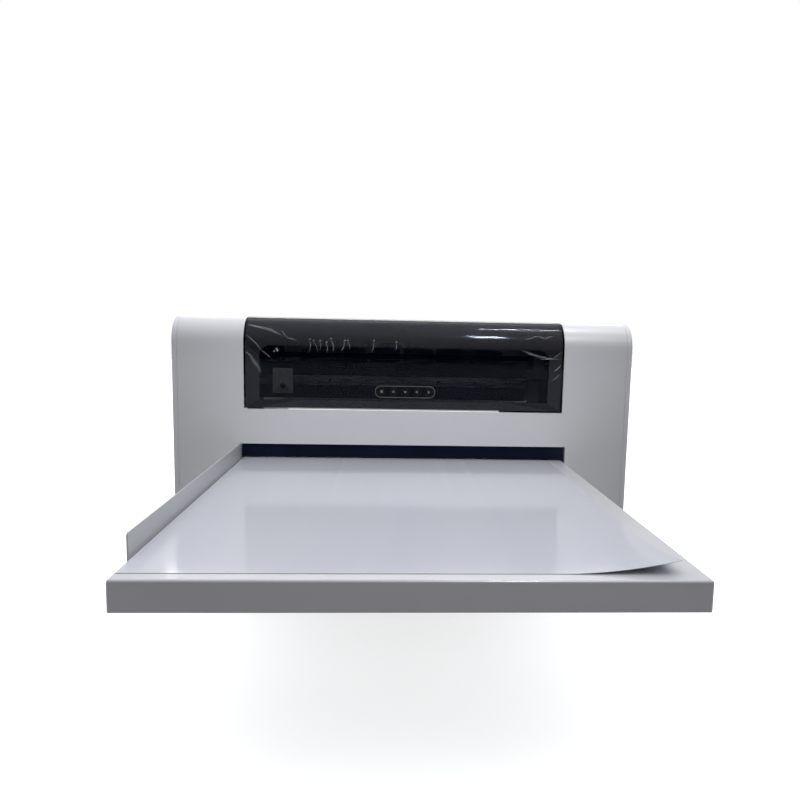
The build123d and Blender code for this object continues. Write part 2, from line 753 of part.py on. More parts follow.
def carriage_belt():
    """The carriage's toothed belt, a closed loop over the beam."""
    loop = belt_loop(
        -carriage_pulley_x,
        carriage_pulley_y,
        carriage_pulley_x,
        carriage_pulley_y,
        carriage_pulley_radius,
        carriage_belt_width,
    )
    return Pos(0, 0, carriage_pulley_z) * loop


def carriage_pulley(x):
    wheel = pulley(carriage_pulley_radius, carriage_belt_width, motor_shaft_radius + running_gap)
    return Pos(x, carriage_pulley_y, carriage_pulley_z) * wheel


def belt_brackets():
    """A bridge over each end of the belt: the right one carries the motor, the left one the idler's pin."""
    pieces = []
    for side in (-1, 1):
        x_in, x_out = beam_half - 26.0, beam_half + 14.0
        x0, x1 = sorted((side * x_in, side * x_out))
        top = block(x0, x1, beam_front_y, beam_rear_y, bracket_z0, bracket_z0 + 3.0)
        for y0, y1 in ((beam_front_y, beam_front_y + 4), (beam_rear_y - 4, beam_rear_y)):
            leg_x0, leg_x1 = sorted((side * x_in, side * (beam_half - 2.0)))
            top += block(leg_x0, leg_x1, y0, y1, beam_z1, bracket_z0 + 1)
        place = (side * carriage_pulley_x, carriage_pulley_y)
        if side > 0:
            top -= post(*place, bracket_z0 - 1, bracket_z0 + 4, motor_shaft_radius + 0.5)
        else:
            top += post(*place, beam_z1 + 2.0, bracket_z0 + 1, motor_shaft_radius)
        pieces.append(top)
    return pieces


def carriage_motor():
    """The round carriage motor on its bracket, its shaft hanging through the pulley."""
    z0 = bracket_z0 + 3.0
    body = post(carriage_pulley_x, carriage_pulley_y, z0, z0 + 32.0, 16.0)
    body = fillet(body.edges().group_by(Axis.Z)[-1], 2.0)
    return body + post(carriage_pulley_x, carriage_pulley_y, beam_z1 + 2.0, z0 + 1, motor_shaft_radius)


# ---- Maintenance station -------------------------------------------------------------------
def capping_base():
    """The fixed stand of the capping station: a foot, a column and two guide posts for the sled."""
    x0, x1 = head_x - 28.0, head_x + 28.0
    y0, y1 = head_y - 44.0, head_y + 44.0
    top = sled_z0 - cap_travel - 1.5
    stand = block(x0, x1, y0, y1, deck, deck + 6.0)
    stand += block(x0 + 8, x1 - 8, y0 + 8, y1 - 8, deck + 5, top)
    for y in (head_y - guide_post_offset, head_y + guide_post_offset):
        stand += post(head_x, y, top - 1, sled_z0 + guide_engagement, guide_post_radius)
    return stand


def cap_sled():
    """The sled that lifts the cap on to the head, with bores for the guide posts."""
    z1 = cap_top - cap_seal_height
    y0, y1 = head_y - sled_half_y, head_y + sled_half_y
    sled = block(head_x - sled_half_x, head_x + sled_half_x, y0, y1, sled_z0, z1)
    sled = rounded(sled, Axis.Z, 3.0)
    for y in (head_y - guide_post_offset, head_y + guide_post_offset):
        sled -= post(head_x, y, sled_z0 - 1, sled_z0 + guide_bore_depth, guide_post_radius + running_gap)
    sled -= block(head_x - 14, head_x + 14, head_y - 24, head_y + 24, z1 - 4.0, z1 + 1)
    return sled


def cap_seals():
    """The rubber cap ring and the wiper blade on the sled."""
    z0 = cap_top - cap_seal_height
    ring = block(head_x - 18, head_x + 18, head_y - 30, head_y + 30, z0, cap_top)
    ring = rounded(ring, Axis.Z, 4.0)
    ring -= block(head_x - 15, head_x + 15, head_y - 27, head_y + 27, z0 - 1, cap_top + 1)
    wiper = block(head_x - 24.5, head_x - 22.5, head_y - 20, head_y + 20, z0, cap_top)
    return [ring, wiper]


def waste_tank():
    """The waste ink tank in the foot of the right tower, with a screw cap."""
    x0, x1 = wall_x + wall_thickness + 8.0, side_inner - 6.0
    y0 = front_y + 205.0
    tank = rounded(block(x0, x1, y0, y0 + 120.0, deck, deck + 80.0), Axis.Z, 6.0)
    neck = post((x0 + x1) / 2, y0 + 30.0, deck + 79.0, deck + 94.0, 14.0)
    return tank + neck


# ---- Ink and electronics -------------------------------------------------------------------
def ink_tray():
    """The shallow drip tray that holds the ink bottles, resting on the chassis walls."""
    x1 = wall_x + wall_thickness
    y0 = beam_rear_y + 6.0
    y1 = y0 + bottle_depth + 20.0
    tray = block(-x1, x1, y0, y1, beam_z0, beam_z0 + ink_tray_lip)
    wall = ink_tray_wall
    rim_z = beam_z0 + ink_tray_lip
    return tray - block(-x1 + wall, x1 - wall, y0 + wall, y1 - wall, beam_z0 + wall, rim_z + 1)


def ink_bottles():
    """Six square ink bottles with screw caps."""
    bottles = []
    z0 = beam_z0 + ink_tray_wall
    y0 = beam_rear_y + 16.0
    for i in range(bottle_count):
        x = (i - (bottle_count - 1) / 2) * bottle_pitch
        half = bottle_width / 2
        body = block(x - half, x + half, y0, y0 + bottle_depth, z0, z0 + bottle_height)
        body = fillet(body.edges().filter_by(Axis.Z) + body.edges().group_by(Axis.Z)[-1], bottle_corner)
        neck_y = y0 + bottle_depth / 2
        body += post(x, neck_y, z0 + bottle_height - 1, z0 + bottle_height + 4, 11.0)
        cap = post(x, neck_y, z0 + bottle_height + 3, z0 + bottle_height + 17, 14.0)
        bottles.append(body + fillet(cap.edges().group_by(Axis.Z)[-1], 1.5))
    return bottles


def mainboard():
    """The control board on the left chassis wall, with chips, heat sinks and connectors."""
    x1 = -(wall_x + wall_thickness + board_post_length)
    x0 = x1 - board_thickness
    y0, z0 = front_y + 58.0, deck + 22.0
    board = block(x0, x1, y0, y0 + board_length, z0, z0 + board_height)
    for y, z, width, height, depth in board_chips + board_sockets:
        board += block(x0 - depth, x0 + 0.5, y0 + y, y0 + y + width, z0 + z, z0 + z + height)
    for y in (y0 + board_post_inset, y0 + board_length - board_post_inset):
        for z in (z0 + board_post_inset, z0 + board_height - board_post_inset):
            board += bar_x(x1 - 0.5, x1 + board_post_length, y, z, board_post_radius)
    return board


def power_supply():
    """The metal power supply in the foot of the left tower."""
    x0, x1 = -side_inner + 8.0, -(wall_x + wall_thickness) - 6.0
    y0, y1 = back_y - 200.0, back_y - 40.0
    case = block(x0, x1, y0, y1, deck, deck + 42.0)
    for i in range(8):
        y = y0 + 20.0 + i * 16.0
        case -= block(x0 + 10, x1 - 10, y, y + 5.0, deck + 40.0, deck + 43.0)
    return case


def fan_frame():
    """The exhaust fan's square frame behind the rear panel's slots, with its hub on three struts."""
    y1 = back_y - skin
    y0 = y1 - fan_depth
    half = fan_size / 2
    frame = rounded(block(fan_x - half, fan_x + half, y0, y1, fan_z - half, fan_z + half), Axis.Y, 4.0)
    frame -= bar_y(fan_x, y0 - 1, y1 + 1, fan_z, half - 2.0)
    frame += bar_y(fan_x, y0, y0 + 4.0, fan_z, 16.0)
    for i in range(3):
        strut = Pos(0, 0, (half - 1) / 2) * Box(4.0, 4.0, half - 1)
        frame += Pos(fan_x, y0 + 2.0, fan_z) * Rot(0, 30 + 120 * i, 0) * strut
    return frame


def fan_rotor():
    """The fan's hub and seven pitched blades."""
    y1 = back_y - skin - 2.0
    y0 = y1 - 17.0
    rotor = bar_y(fan_x, y0, y1, fan_z, fan_hub_radius)
    reach = fan_size / 2 - 4.0
    for i in range(fan_blades):
        blade = Pos(0, 0, (reach + 13.0) / 2) * Rot(0, 0, 38) * Box(16.0, 1.6, reach - 13.0)
        rotor += Pos(fan_x, (y0 + y1) / 2, fan_z) * Rot(0, 360 / fan_blades * i, 0) * blade
    return rotor


def rear_connectors():
    """The mains inlet, the switch's frame and the data port, which all stand out of the panel a little."""
    flange_y = back_y + flange_thickness
    open_y = back_y + rear_reach + 1
    inlet = rear_block(inlet_size, inlet_z, back_y - inlet_depth, flange_y)
    inlet += rear_block(inlet_flange, inlet_z, back_y, back_y + rear_reach)
    inlet -= rear_block(inlet_mouth, inlet_z, back_y - inlet_mouth_depth, open_y)
    for x in (-6.0, 0.0, 6.0):
        z = inlet_z + (2.0 if x == 0 else -1.5)
        pin_x = socket_x + x
        inlet += block(pin_x - 1, pin_x + 1, back_y - inlet_mouth_depth - 1, back_y - 2, z - 2, z + 2)
    frame = rear_block(rocker_size, switch_z, back_y - 18, flange_y)
    frame += rear_block(rocker_flange, switch_z, back_y, flange_y)
    frame -= rear_block(rocker_mouth, switch_z, back_y - 12, open_y)
    frame += bar_x(socket_x - 5.5, socket_x + 5.5, rocker_y, switch_z, rocker_pin_radius)
    port = rear_block(port_size, port_z, back_y - 16, flange_y)
    port -= rear_block(port_mouth, port_z, back_y - 12, open_y)
    port += rear_block(port_tongue, port_z, back_y - 13, back_y - 2)
    return [inlet, frame, port]


def power_rocker():
    """The switch's rocker on its pin, at rest with its lower half pressed in."""
    body = Box(9.2, 6.0, rocker_height)
    body = fillet(body.edges().filter_by(Axis.X), 1.0)
    for side in (-1, 1):
        body += Pos(0, 2.6, side * 5.0) * Rot(side * 12, 0, 0) * Box(9.2, 2.6, 4.2)
    tilted = Pos(socket_x, rocker_y, switch_z) * Rot(rocker_swing / 2, 0, 0) * body
    return tilted - bar_x(socket_x - 6, socket_x + 6, rocker_y, switch_z, rocker_pin_radius + running_gap)


# ---- Lift under the bed --------------------------------------------------------------------
def lift_screw(x, y):
    """A lead screw with its belt pulley at the foot."""
    top = crossbeam_z0 + crossbeam_height + 12.0
    screw = post(x, y, foot_height + 0.5, top, screw_radius)
    screw = chamfer(screw.edges().group_by(Axis.Z)[-1], 0.8)
    wheel = pulley(lift_pulley_radius, lift_belt_width, screw_radius - 0.5)
    return screw + Pos(x, y, lift_belt_z) * wheel


def lift_belt():
    """The belt that ties the four lead screws together: a rounded rectangle round their pulleys."""
    inner_r = lift_pulley_radius + belt_gap
    outer_r = inner_r + belt_thickness
    mid_y = (screw_front_y + screw_rear_y) / 2
    span_x, span_y = 2 * screw_x, screw_rear_y - screw_front_y
    ring = RectangleRounded(span_x + 2 * outer_r, span_y + 2 * outer_r, outer_r)
    ring -= RectangleRounded(span_x + 2 * inner_r, span_y + 2 * inner_r, inner_r)
    return Pos(0, mid_y, lift_belt_z) * extrude(ring, lift_belt_width / 2, both=True)


def lift_motor():
    """The lift's stepper, standing over the belt on two legs with its shaft down."""
    face_z = lift_belt_z + lift_belt_width / 2 + 4.0
    motor = Pos(screw_x, lift_motor_y, face_z) * Rot(180, 0, 0) * stepper(11.0)
    for side in (-1, 1):
        y = lift_motor_y + side * (motor_side / 2 - 3.0)
        motor += block(screw_x - 14, screw_x + 4, y - 3, y + 3, deck, face_z + 1)
    return motor


def lift_motor_pulley():
    wheel = pulley(lift_pulley_radius, lift_belt_width, motor_shaft_radius + running_gap)
    return Pos(screw_x, lift_motor_y, lift_belt_z) * wheel


def lift_frame():
    """The lifting sub-frame: two rail carriers on two crossbeams, with the bars for motor and idler."""
    pieces = []
    for side in (-1, 1):
        x0, x1 = side * carrier_x - carrier_width / 2, side * carrier_x + carrier_width / 2
        beam = block(x0, x1, carrier_front, carrier_rear, carrier_z0, bed_rail_z0)
        x0, x1 = x0 + carrier_wall, x1 - carrier_wall
        nose_y = carrier_front + carrier_nose
        beam -= block(x0, x1, nose_y, carrier_rear + 1, carrier_z0 - 1, bed_rail_z0 - carrier_roof)
        pieces.append(beam)
    reach = screw_x + 14.0
    for y in (screw_front_y, screw_rear_y):
        y0, y1 = y - crossbeam_depth / 2, y + crossbeam_depth / 2
        beam = block(-reach, reach, y0, y1, crossbeam_z0, carrier_z0)
        for x in (-screw_x, screw_x):
            beam -= post(x, y, crossbeam_z0 - 1, carrier_z0 + 1, screw_radius + running_gap)
        pieces.append(beam)
    gap_half = carrier_x - carrier_width / 2
    bar = block(-gap_half, gap_half, carrier_front, carrier_front + 12, carrier_z0 + 3, bed_rail_z0 - 3)
    for side in (-1, 1):
        x0, x1 = sorted((side * 7.0, side * 10.0))
        bar += block(x0, x1, carrier_front + 11, bed_idler_y + 7, bed_pulley_z - 8, bed_pulley_z + 8)
    pieces.append(bar + bar_x(-8, 8, bed_idler_y, bed_pulley_z, motor_shaft_radius))
    bar_y0, bar_y1 = bed_motor_y - 10, bed_motor_y + 10
    motor_bar = block(-gap_half, gap_half, bar_y0, bar_y1, carrier_z0 - 12, carrier_z0 - 8)
    half = motor_side / 2
    plate = block(9, 12, bed_motor_y - half, bed_motor_y + half, carrier_z0 - 9, bed_pulley_z + half)
    plate -= bar_x(8, 13, bed_motor_y, bed_pulley_z, 11.4)
    pieces.append(motor_bar + plate)
    for side in (-1, 1):
        x0, x1 = sorted((side * (gap_half - 6), side * (gap_half + 6)))
        pieces[-1] += block(x0, x1, bar_y0, bar_y1, carrier_z0 - 12, carrier_z0)
    return pieces


def bed_rails():
    """Two linear rails on the carriers."""
    rails = []
    for side in (-1, 1):
        x0, x1 = side * carrier_x - bed_rail_width / 2, side * carrier_x + bed_rail_width / 2
        rail = block(x0, x1, carrier_front + 2, carrier_rear - 2, bed_rail_z0, bed_rail_z0 + bed_rail_height)
        for x in (x0, x1):
            rail -= bar_y(x, carrier_front, carrier_rear, bed_rail_z0 + 9.0, 1.8)
        rails.append(rail)
    return rails


def turned_to_x(shape, y, z):
    """A shape made along Z, laid along X at that height."""
    return Pos(0, y, z) * Rot(0, 90, 0) * shape


def bed_motor():
    """The stepper that drives the bed's belt, lying across the frame."""
    motor = stepper(12.0 + bed_belt_width / 2 + 3.0)
    return Pos(12.0, bed_motor_y, bed_pulley_z) * Rot(0, -90, 0) * motor


def bed_belt():
    """The bed's toothed belt, an upright loop along Y."""
    loop = belt_loop(0, bed_idler_y, 0, bed_motor_y, bed_pulley_radius, bed_belt_width)
    return Pos(0, 0, bed_pulley_z) * Rot(0, 90, 0) * loop


def bed_pulley(y):
    wheel = pulley(bed_pulley_radius, bed_belt_width, motor_shaft_radius + running_gap)
    return turned_to_x(wheel, y, bed_pulley_z)


# ---- Bed -----------------------------------------------------------------------------------
def bed_tray():
    """The white print bed: a shallow pan turned down at every side, with rolled edges."""
    half = bed_width / 2
    lip_z = bed_top - bed_lip
    tray = block(-half, half, bed_front, bed_rear, lip_z, bed_top)
    tray = fillet(tray.edges().filter_by(Axis.Z), 2.0)
    tray = fillet(tray.edges().group_by(Axis.Z)[-1], bed_edge_radius)
    inner = half - bed_sheet
    return tray - block(
        -inner, inner, bed_front + bed_sheet, bed_rear - bed_sheet, lip_z - 1, bed_top - bed_sheet
    )


def bed_subframe():
    """Stiffening bars, four bearing blocks and the belt clamp, all fixed under the bed."""
    pieces = []
    z1 = bed_top - bed_sheet
    bar_y0, bar_y1 = bed_front + 20.0, bed_rear - 20.0
    for x in (-carrier_x, 0, carrier_x):
        pieces.append(rounded(block(x - 16, x + 16, bar_y0, bar_y1, stiffener_z0, z1), Axis.Y, 1.5))
    for side in (-1, 1):
        x = side * carrier_x
        for y in (carrier_front + 42.0, bed_rear - 85.0):
            body = block(
                x - block_width / 2,
                x + block_width / 2,
                y - block_length / 2,
                y + block_length / 2,
                bed_rail_z0 + block_lift,
                stiffener_z0,
            )
            channel = bed_rail_width / 2 + 0.4
            body -= block(
                x - channel,
                x + channel,
                y - block_length,
                y + block_length,
                bed_rail_z0,
                bed_rail_z0 + bed_rail_height + 0.4,
            )
            pieces.append(body)
    clamp_y = bed_idler_y + 32.0
    run_z = bed_pulley_z + bed_pulley_radius + belt_gap
    clamp = block(-9, 9, clamp_y - 12, clamp_y + 12, run_z - 3.0, stiffener_z0)
    half = bed_belt_width / 2 + 0.4
    clamp -= block(-half, half, clamp_y - 13, clamp_y + 13, run_z - 0.4, run_z + belt_thickness + 0.4)
    clamp -= block(-10, 0, clamp_y - 13, clamp_y + 13, run_z - 0.4, run_z + belt_thickness + 0.4)
    pieces.append(clamp)
    return pieces


def print_film():
    """The thin glossy sheet that lies on the bed, against the fence side."""
    x0 = -bed_width / 2 + film_side_gap
    y0, y1 = bed_front + film_setback, shield_y0 - film_shield_gap
    x1 = bed_width / 2 - film_margin
    return block(x0, x1, y0, y1, bed_top, bed_top + film_thickness)


def parts():
    """Every sub-part by name: one solid, or a list of separate solids."""
    made = {
        "base_plate": base_plate(),
        "rubber_feet": rubber_feet(),
        "side_panels": [side_panel(-1), side_panel(1)],
        "front_hood": front_hood(),
        "rear_panel": rear_panel(),
        "chassis_walls": chassis_walls(),
        "slot_shield": slot_shield(),
        "left_fence": left_fence(),
        "cover_screws": cover_screws(),
        "cover_pivots": cover_pivots(),
        "lid_window": lid_window(),
        "lid_frame": lid_frame(),
        "ink_cover": ink_cover(),
        "button_bezel": button_bezel(),
        "interlock_plate": interlock_plate(),
        "gantry_beam": gantry_beam(),
        "guide_rail": guide_rail(),
        "carriage_plate": carriage_plate(),
        "carriage_shell": carriage_shell(),
        "print_head": print_head(),
        "ink_dampers": ink_dampers(),
        "uv_lamp": uv_lamp(),
        "carriage_belt": carriage_belt(),
        "carriage_drive_pulley": carriage_pulley(carriage_pulley_x),
        "carriage_idler_pulley": carriage_pulley(-carriage_pulley_x),
        "belt_brackets": belt_brackets(),
        "carriage_motor": carriage_motor(),
        "capping_base": capping_base(),
        "cap_sled": cap_sled(),
        "cap_seals": cap_seals(),
        "waste_tank": waste_tank(),
        "ink_tray": ink_tray(),
        "ink_bottles": ink_bottles(),
        "mainboard": mainboard(),
        "power_supply": power_supply(),
        "fan_frame": fan_frame(),
        "fan_rotor": fan_rotor(),
        "rear_connectors": rear_connectors(),
        "power_rocker": power_rocker(),
        "lift_belt": lift_belt(),
        "lift_motor": lift_motor(),
        "lift_motor_pulley": lift_motor_pulley(),
        "lift_frame": lift_frame(),
        "bed_rails": bed_rails(),
        "bed_motor": bed_motor(),
        "bed_belt": bed_belt(),
        "bed_drive_pulley": bed_pulley(bed_motor_y),
        "bed_idler_pulley": bed_pulley(bed_idler_y),
        "bed_tray": bed_tray(),
        "bed_subframe": bed_subframe(),
        "print_film": print_film(),
    }
    for number, x in enumerate(button_places(), 1):
        made[f"button_{number}"] = button(x)
    corners = (("left", -screw_x), ("right", screw_x))
    for side, x in corners:
        made[f"lift_screw_front_{side}"] = lift_screw(x, screw_front_y)
        made[f"lift_screw_rear_{side}"] = lift_screw(x, screw_rear_y)
    return made


def main():
    os.makedirs("parts", exist_ok=True)
    for name, shape in parts().items():
        solids = shape if isinstance(shape, list) else [shape]
        whole = solids[0] if len(solids) == 1 else Compound(children=solids)
        export_step(whole, f"parts/{name}.step")


main()
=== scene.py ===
import math
import random

import bmesh
import bpy
from mathutils import Matrix, Vector


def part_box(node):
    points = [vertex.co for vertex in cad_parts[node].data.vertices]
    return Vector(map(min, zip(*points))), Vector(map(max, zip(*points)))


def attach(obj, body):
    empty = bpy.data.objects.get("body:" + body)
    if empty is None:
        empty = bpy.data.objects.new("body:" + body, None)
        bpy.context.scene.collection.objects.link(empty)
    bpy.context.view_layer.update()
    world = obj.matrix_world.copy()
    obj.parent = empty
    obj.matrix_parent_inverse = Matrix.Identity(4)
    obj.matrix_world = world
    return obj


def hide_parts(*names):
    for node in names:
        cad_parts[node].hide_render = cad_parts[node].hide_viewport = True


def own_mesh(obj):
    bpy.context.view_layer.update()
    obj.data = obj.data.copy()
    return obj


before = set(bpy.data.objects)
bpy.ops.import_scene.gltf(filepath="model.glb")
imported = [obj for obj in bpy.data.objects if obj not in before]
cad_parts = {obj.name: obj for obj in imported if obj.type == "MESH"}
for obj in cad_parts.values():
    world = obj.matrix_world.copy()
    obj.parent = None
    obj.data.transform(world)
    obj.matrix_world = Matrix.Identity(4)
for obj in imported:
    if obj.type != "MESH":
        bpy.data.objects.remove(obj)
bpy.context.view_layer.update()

MM = 0.001

# ---- Places read from the frame --------------------------------------------------------------
hood_low, hood_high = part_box("front_hood")
lid_low, lid_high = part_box("lid_window")
film_low, film_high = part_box("print_film")
front_y = hood_low.y
top_z = hood_high.z
bed_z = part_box("bed_tray")[1].z

BEND_RADIUS = 37 * MM  # the front sheet rolls back into the top
BEND_CENTRE = (front_y + BEND_RADIUS, top_z - BEND_RADIUS)


# ---- Camera, lights and floor ----------------------------------------------------------------
EYE = Vector((-23.3, -973.8, 186.6)) * MM  # from the bed's surface in the body's front plane
YAW, PITCH, ROLL = -0.05399, 0.12127, 0.02095
SENSOR, LENS = 36, 31.4775  # millimetres
SHIFT = (-0.032125, 0.01525)  # shares of the sensor's width


def make_camera():
    cy, sy = math.cos(YAW), math.sin(YAW)
    cp, sp = math.cos(PITCH), math.sin(PITCH)
    cr, sr = math.cos(ROLL), math.sin(ROLL)
    right = Vector((cr * cy - sr * sp * sy, cr * sy + sr * sp * cy, sr * cp))
    up = Vector((-sr * cy - cr * sp * sy, -sr * sy + cr * sp * cy, cr * cp))
    ahead = Vector((-cp * sy, cp * cy, -sp))
    data = bpy.data.cameras.new("studio_camera")
    data.sensor_width, data.lens = SENSOR, LENS
    data.shift_x, data.shift_y = SHIFT
    data.clip_start, data.clip_end = 0.02, 50
    camera = bpy.data.objects.new("studio_camera", data)
    turn = Matrix((right, up, -ahead)).transposed().to_4x4()
    camera.matrix_world = Matrix.Translation(EYE + Vector((0, front_y, bed_z))) @ turn
    bpy.context.scene.collection.objects.link(camera)
    bpy.context.scene.camera = camera


def hang_light(name, data, power, place, target):
    """The light on its stand, turned to its target."""
    data.energy = power
    light = bpy.data.objects.new(name, data)
    light.location = place
    light.rotation_euler = (Vector(target) - Vector(place)).to_track_quat("-Z", "Y").to_euler()
    bpy.context.scene.collection.objects.link(light)
    return light


def soft_panel(name, place, target, size, power, reflections_only=False):
    data = bpy.data.lights.new(name, "AREA")
    data.shape = "RECTANGLE"
    data.size, data.size_y = size
    light = hang_light(name, data, power, place, target)
    light.visible_diffuse = not reflections_only


def snooted_light(name, place, target, angle, power):
    """A narrow light with a soft edge, which leaves no reflection of its own."""
    data = bpy.data.lights.new(name, "SPOT")
    data.spot_size, data.spot_blend = math.radians(angle), 0.6
    data.shadow_soft_size = 0.12
    light = hang_light(name, data, power, place, target)
    light.visible_glossy = False


CEILING_TILT = Vector((0, 0.30, 1)).normalized()  # it glows most overhead and a little behind
ROOM_STRENGTH = 1.62
ROOM_SHADES = (  # brightness by height: -1 is straight down, 0 the horizon, 1 the ceiling's middle
    (-1.0, 0.035),
    (-0.05, 0.035),
    (0.08, 0.015),
    (0.32, 0.13),
    (0.94, 1.0),
)
FLOOR_HALF = 6.0


def make_world():
    """A white backdrop, and a room that lights the object: a bright ceiling and dim walls and floor."""
    world = bpy.data.worlds.new("studio")
    bpy.context.scene.world = world
    world.use_nodes = True
    nodes, links = world.node_tree.nodes, world.node_tree.links
    nodes.clear()
    seen, room = nodes.new("ShaderNodeBackground"), nodes.new("ShaderNodeBackground")
    seen.inputs["Color"].default_value = (1, 1, 1, 1)
    room.inputs["Strength"].default_value = ROOM_STRENGTH
    place, height = nodes.new("ShaderNodeTexCoord"), nodes.new("ShaderNodeVectorMath")
    height.operation = "DOT_PRODUCT"
    height.inputs[1].default_value = CEILING_TILT
    links.new(place.outputs["Generated"], height.inputs[0])
    share = nodes.new("ShaderNodeMapRange")
    share.inputs["From Min"].default_value = -1
    links.new(height.outputs["Value"], share.inputs["Value"])
    ramp = nodes.new("ShaderNodeValToRGB").color_ramp
    for number, (level, shade_of_grey) in enumerate(ROOM_SHADES):
        spot = (level + 1) / 2
        stop = ramp.elements[number] if number < 2 else ramp.elements.new(spot)
        stop.position = spot
        stop.color = (0.95 * shade_of_grey, 0.97 * shade_of_grey, shade_of_grey, 1)
    shades = nodes["Color Ramp"]
    links.new(share.outputs["Result"], shades.inputs["Fac"])
    links.new(shades.outputs["Color"], room.inputs["Color"])
    path, mix = nodes.new("ShaderNodeLightPath"), nodes.new("ShaderNodeMixShader")
    out = nodes.new("ShaderNodeOutputWorld")
    links.new(path.outputs["Is Camera Ray"], mix.inputs[0])
    links.new(room.outputs[0], mix.inputs[1])
    links.new(seen.outputs[0], mix.inputs[2])
    links.new(mix.outputs[0], out.inputs["Surface"])


def make_studio():
    """The room, the lights and the floor. The tubes only lay their reflections on the lid's roll."""
    make_world()
    bpy.context.scene.view_settings.view_transform = "Standard"
    soft_panel("high_tube", (0.377, 0.02, 1.55), (0.153, 0, 0.36), (0.07, 0.24), 7.0, True)
    soft_panel("low_tube", (0.318, -1.0, 1.46), (0.114, 0, 0.35), (0.115, 0.26), 17.0, True)
    snooted_light("front_snoot", (0.1, -1.5, 0.9), (0, 0, 0.40), 30, 18.0)
    soft_panel("back_panel", (0, 1.7, 1.15), (0, 0, 0.3), (1.8, 0.35), 9.0)

    mesh = bpy.data.meshes.new("floor")
    edge = FLOOR_HALF
    corners = [(-edge, -edge, 0), (edge, -edge, 0), (edge, edge, 0), (-edge, edge, 0)]
    mesh.from_pydata(corners, [], [(0, 1, 2, 3)])
    floor = bpy.data.objects.new("floor", mesh)
    bpy.context.scene.collection.objects.link(floor)
    floor.data.materials.append(floor_paper())
    floor.visible_diffuse = False  # the room's light from below stands for the floor's


# ---- Materials -------------------------------------------------------------------------------
def shade(name, low, high, patch, rough, grain, bump, metal=0.0, stretch=(1, 1, 1), fixed=None):
    """A finish whose colour drifts between two shades in patches, with its own grain and relief.

    patch and grain are the sizes of the colour patches and of the grain, in metres.
    rough is the range of roughness, bump the relief's height in metres.
    """
    material = bpy.data.materials.new(name)
    material.use_nodes = True
    nodes, links = material.node_tree.nodes, material.node_tree.links
    shader = nodes["Principled BSDF"]
    shader.inputs["Metallic"].default_value = metal
    for socket, value in (fixed or {}).items():
        shader.inputs[socket].default_value = value
    place, spread = nodes.new("ShaderNodeTexCoord"), nodes.new("ShaderNodeMapping")
    spread.inputs["Scale"].default_value = stretch
    links.new(place.outputs["Object"], spread.inputs["Vector"])

    def noise(size, detail):
        texture = nodes.new("ShaderNodeTexNoise")
        texture.inputs["Scale"].default_value = 1 / size
        texture.inputs["Detail"].default_value = detail
        links.new(spread.outputs["Vector"], texture.inputs["Vector"])
        return texture.outputs["Fac"]

    ramp = nodes.new("ShaderNodeValToRGB")
    ramp.color_ramp.elements[0].position = 0.3
    ramp.color_ramp.elements[1].position = 0.7
    ramp.color_ramp.elements[0].color = (*low, 1)
    ramp.color_ramp.elements[1].color = (*high, 1)
    links.new(noise(patch, 4), ramp.inputs["Fac"])
    links.new(ramp.outputs["Color"], shader.inputs["Base Color"])
    gloss = nodes.new("ShaderNodeMapRange")
    gloss.inputs["From Min"].default_value = 0.3
    gloss.inputs["From Max"].default_value = 0.7
    gloss.inputs["To Min"].default_value = rough[0]
    gloss.inputs["To Max"].default_value = rough[1]
    links.new(noise(patch * 0.3, 5), gloss.inputs["Value"])
    links.new(gloss.outputs["Result"], shader.inputs["Roughness"])
    relief = nodes.new("ShaderNodeBump")
    relief.inputs["Distance"].default_value = bump
    relief.inputs["Strength"].default_value = 1.0
    links.new(noise(grain, 2), relief.inputs["Height"])
    links.new(relief.outputs["Normal"], shader.inputs["Normal"])
    return material


def floor_paper():
    glow = {"Emission Color": (1, 1, 1, 1), "Emission Strength": 0.7}
    low, high = (0.80, 0.80, 0.80), (0.84, 0.84, 0.84)
    return shade("floor_paper", low, high, 0.5, (0.7, 0.8), 2 * MM, 0.02 * MM, fixed=glow)


def powder_coat(name, low, high):
    """Satin powder coat with its faint orange peel."""
    return shade(name, low, high, 90 * MM, (0.30, 0.38), 1.6 * MM, 0.012 * MM, fixed={"Coat Weight": 0.15})


def zinc_sheet():
    low, high = (0.42, 0.43, 0.45), (0.60, 0.61, 0.63)
    return shade("zinc_sheet", low, high, 14 * MM, (0.32, 0.5), 1.2 * MM, 0.01 * MM, metal=1.0)


def ground_steel(name, stretch):
    """Ground steel, its marks drawn out along one axis."""
    low, high = (0.48, 0.49, 0.51), (0.66, 0.67, 0.69)
    return shade(name, low, high, 6 * MM, (0.2, 0.34), 0.9 * MM, 0.006 * MM, 1.0, stretch)


def anodised():
    low, high = (0.62, 0.63, 0.65), (0.70, 0.71, 0.73)
    return shade("anodised_aluminium", low, high, 30 * MM, (0.34, 0.44), 0.6 * MM, 0.006 * MM, 1.0)


def black_anodised():
    low, high = (0.012, 0.012, 0.014), (0.022, 0.022, 0.025)
    return shade("black_anodised", low, high, 25 * MM, (0.35, 0.5), 0.6 * MM, 0.006 * MM)


def blackened_screw():
    low, high = (0.09, 0.09, 0.10), (0.18, 0.18, 0.19)
    return shade("blackened_screw", low, high, 2 * MM, (0.3, 0.5), 0.4 * MM, 0.01 * MM, 1.0)


def moulded(name, low, high, rough=(0.45, 0.6), fixed=None):
    """Moulded plastic with a fine spark-eroded grain."""
    return shade(name, low, high, 40 * MM, rough, 0.5 * MM, 0.02 * MM, fixed=fixed)


def rubber():
    low, high = (0.018, 0.018, 0.019), (0.035, 0.035, 0.036)
    return shade("rubber", low, high, 9 * MM, (0.7, 0.9), 0.8 * MM, 0.03 * MM)


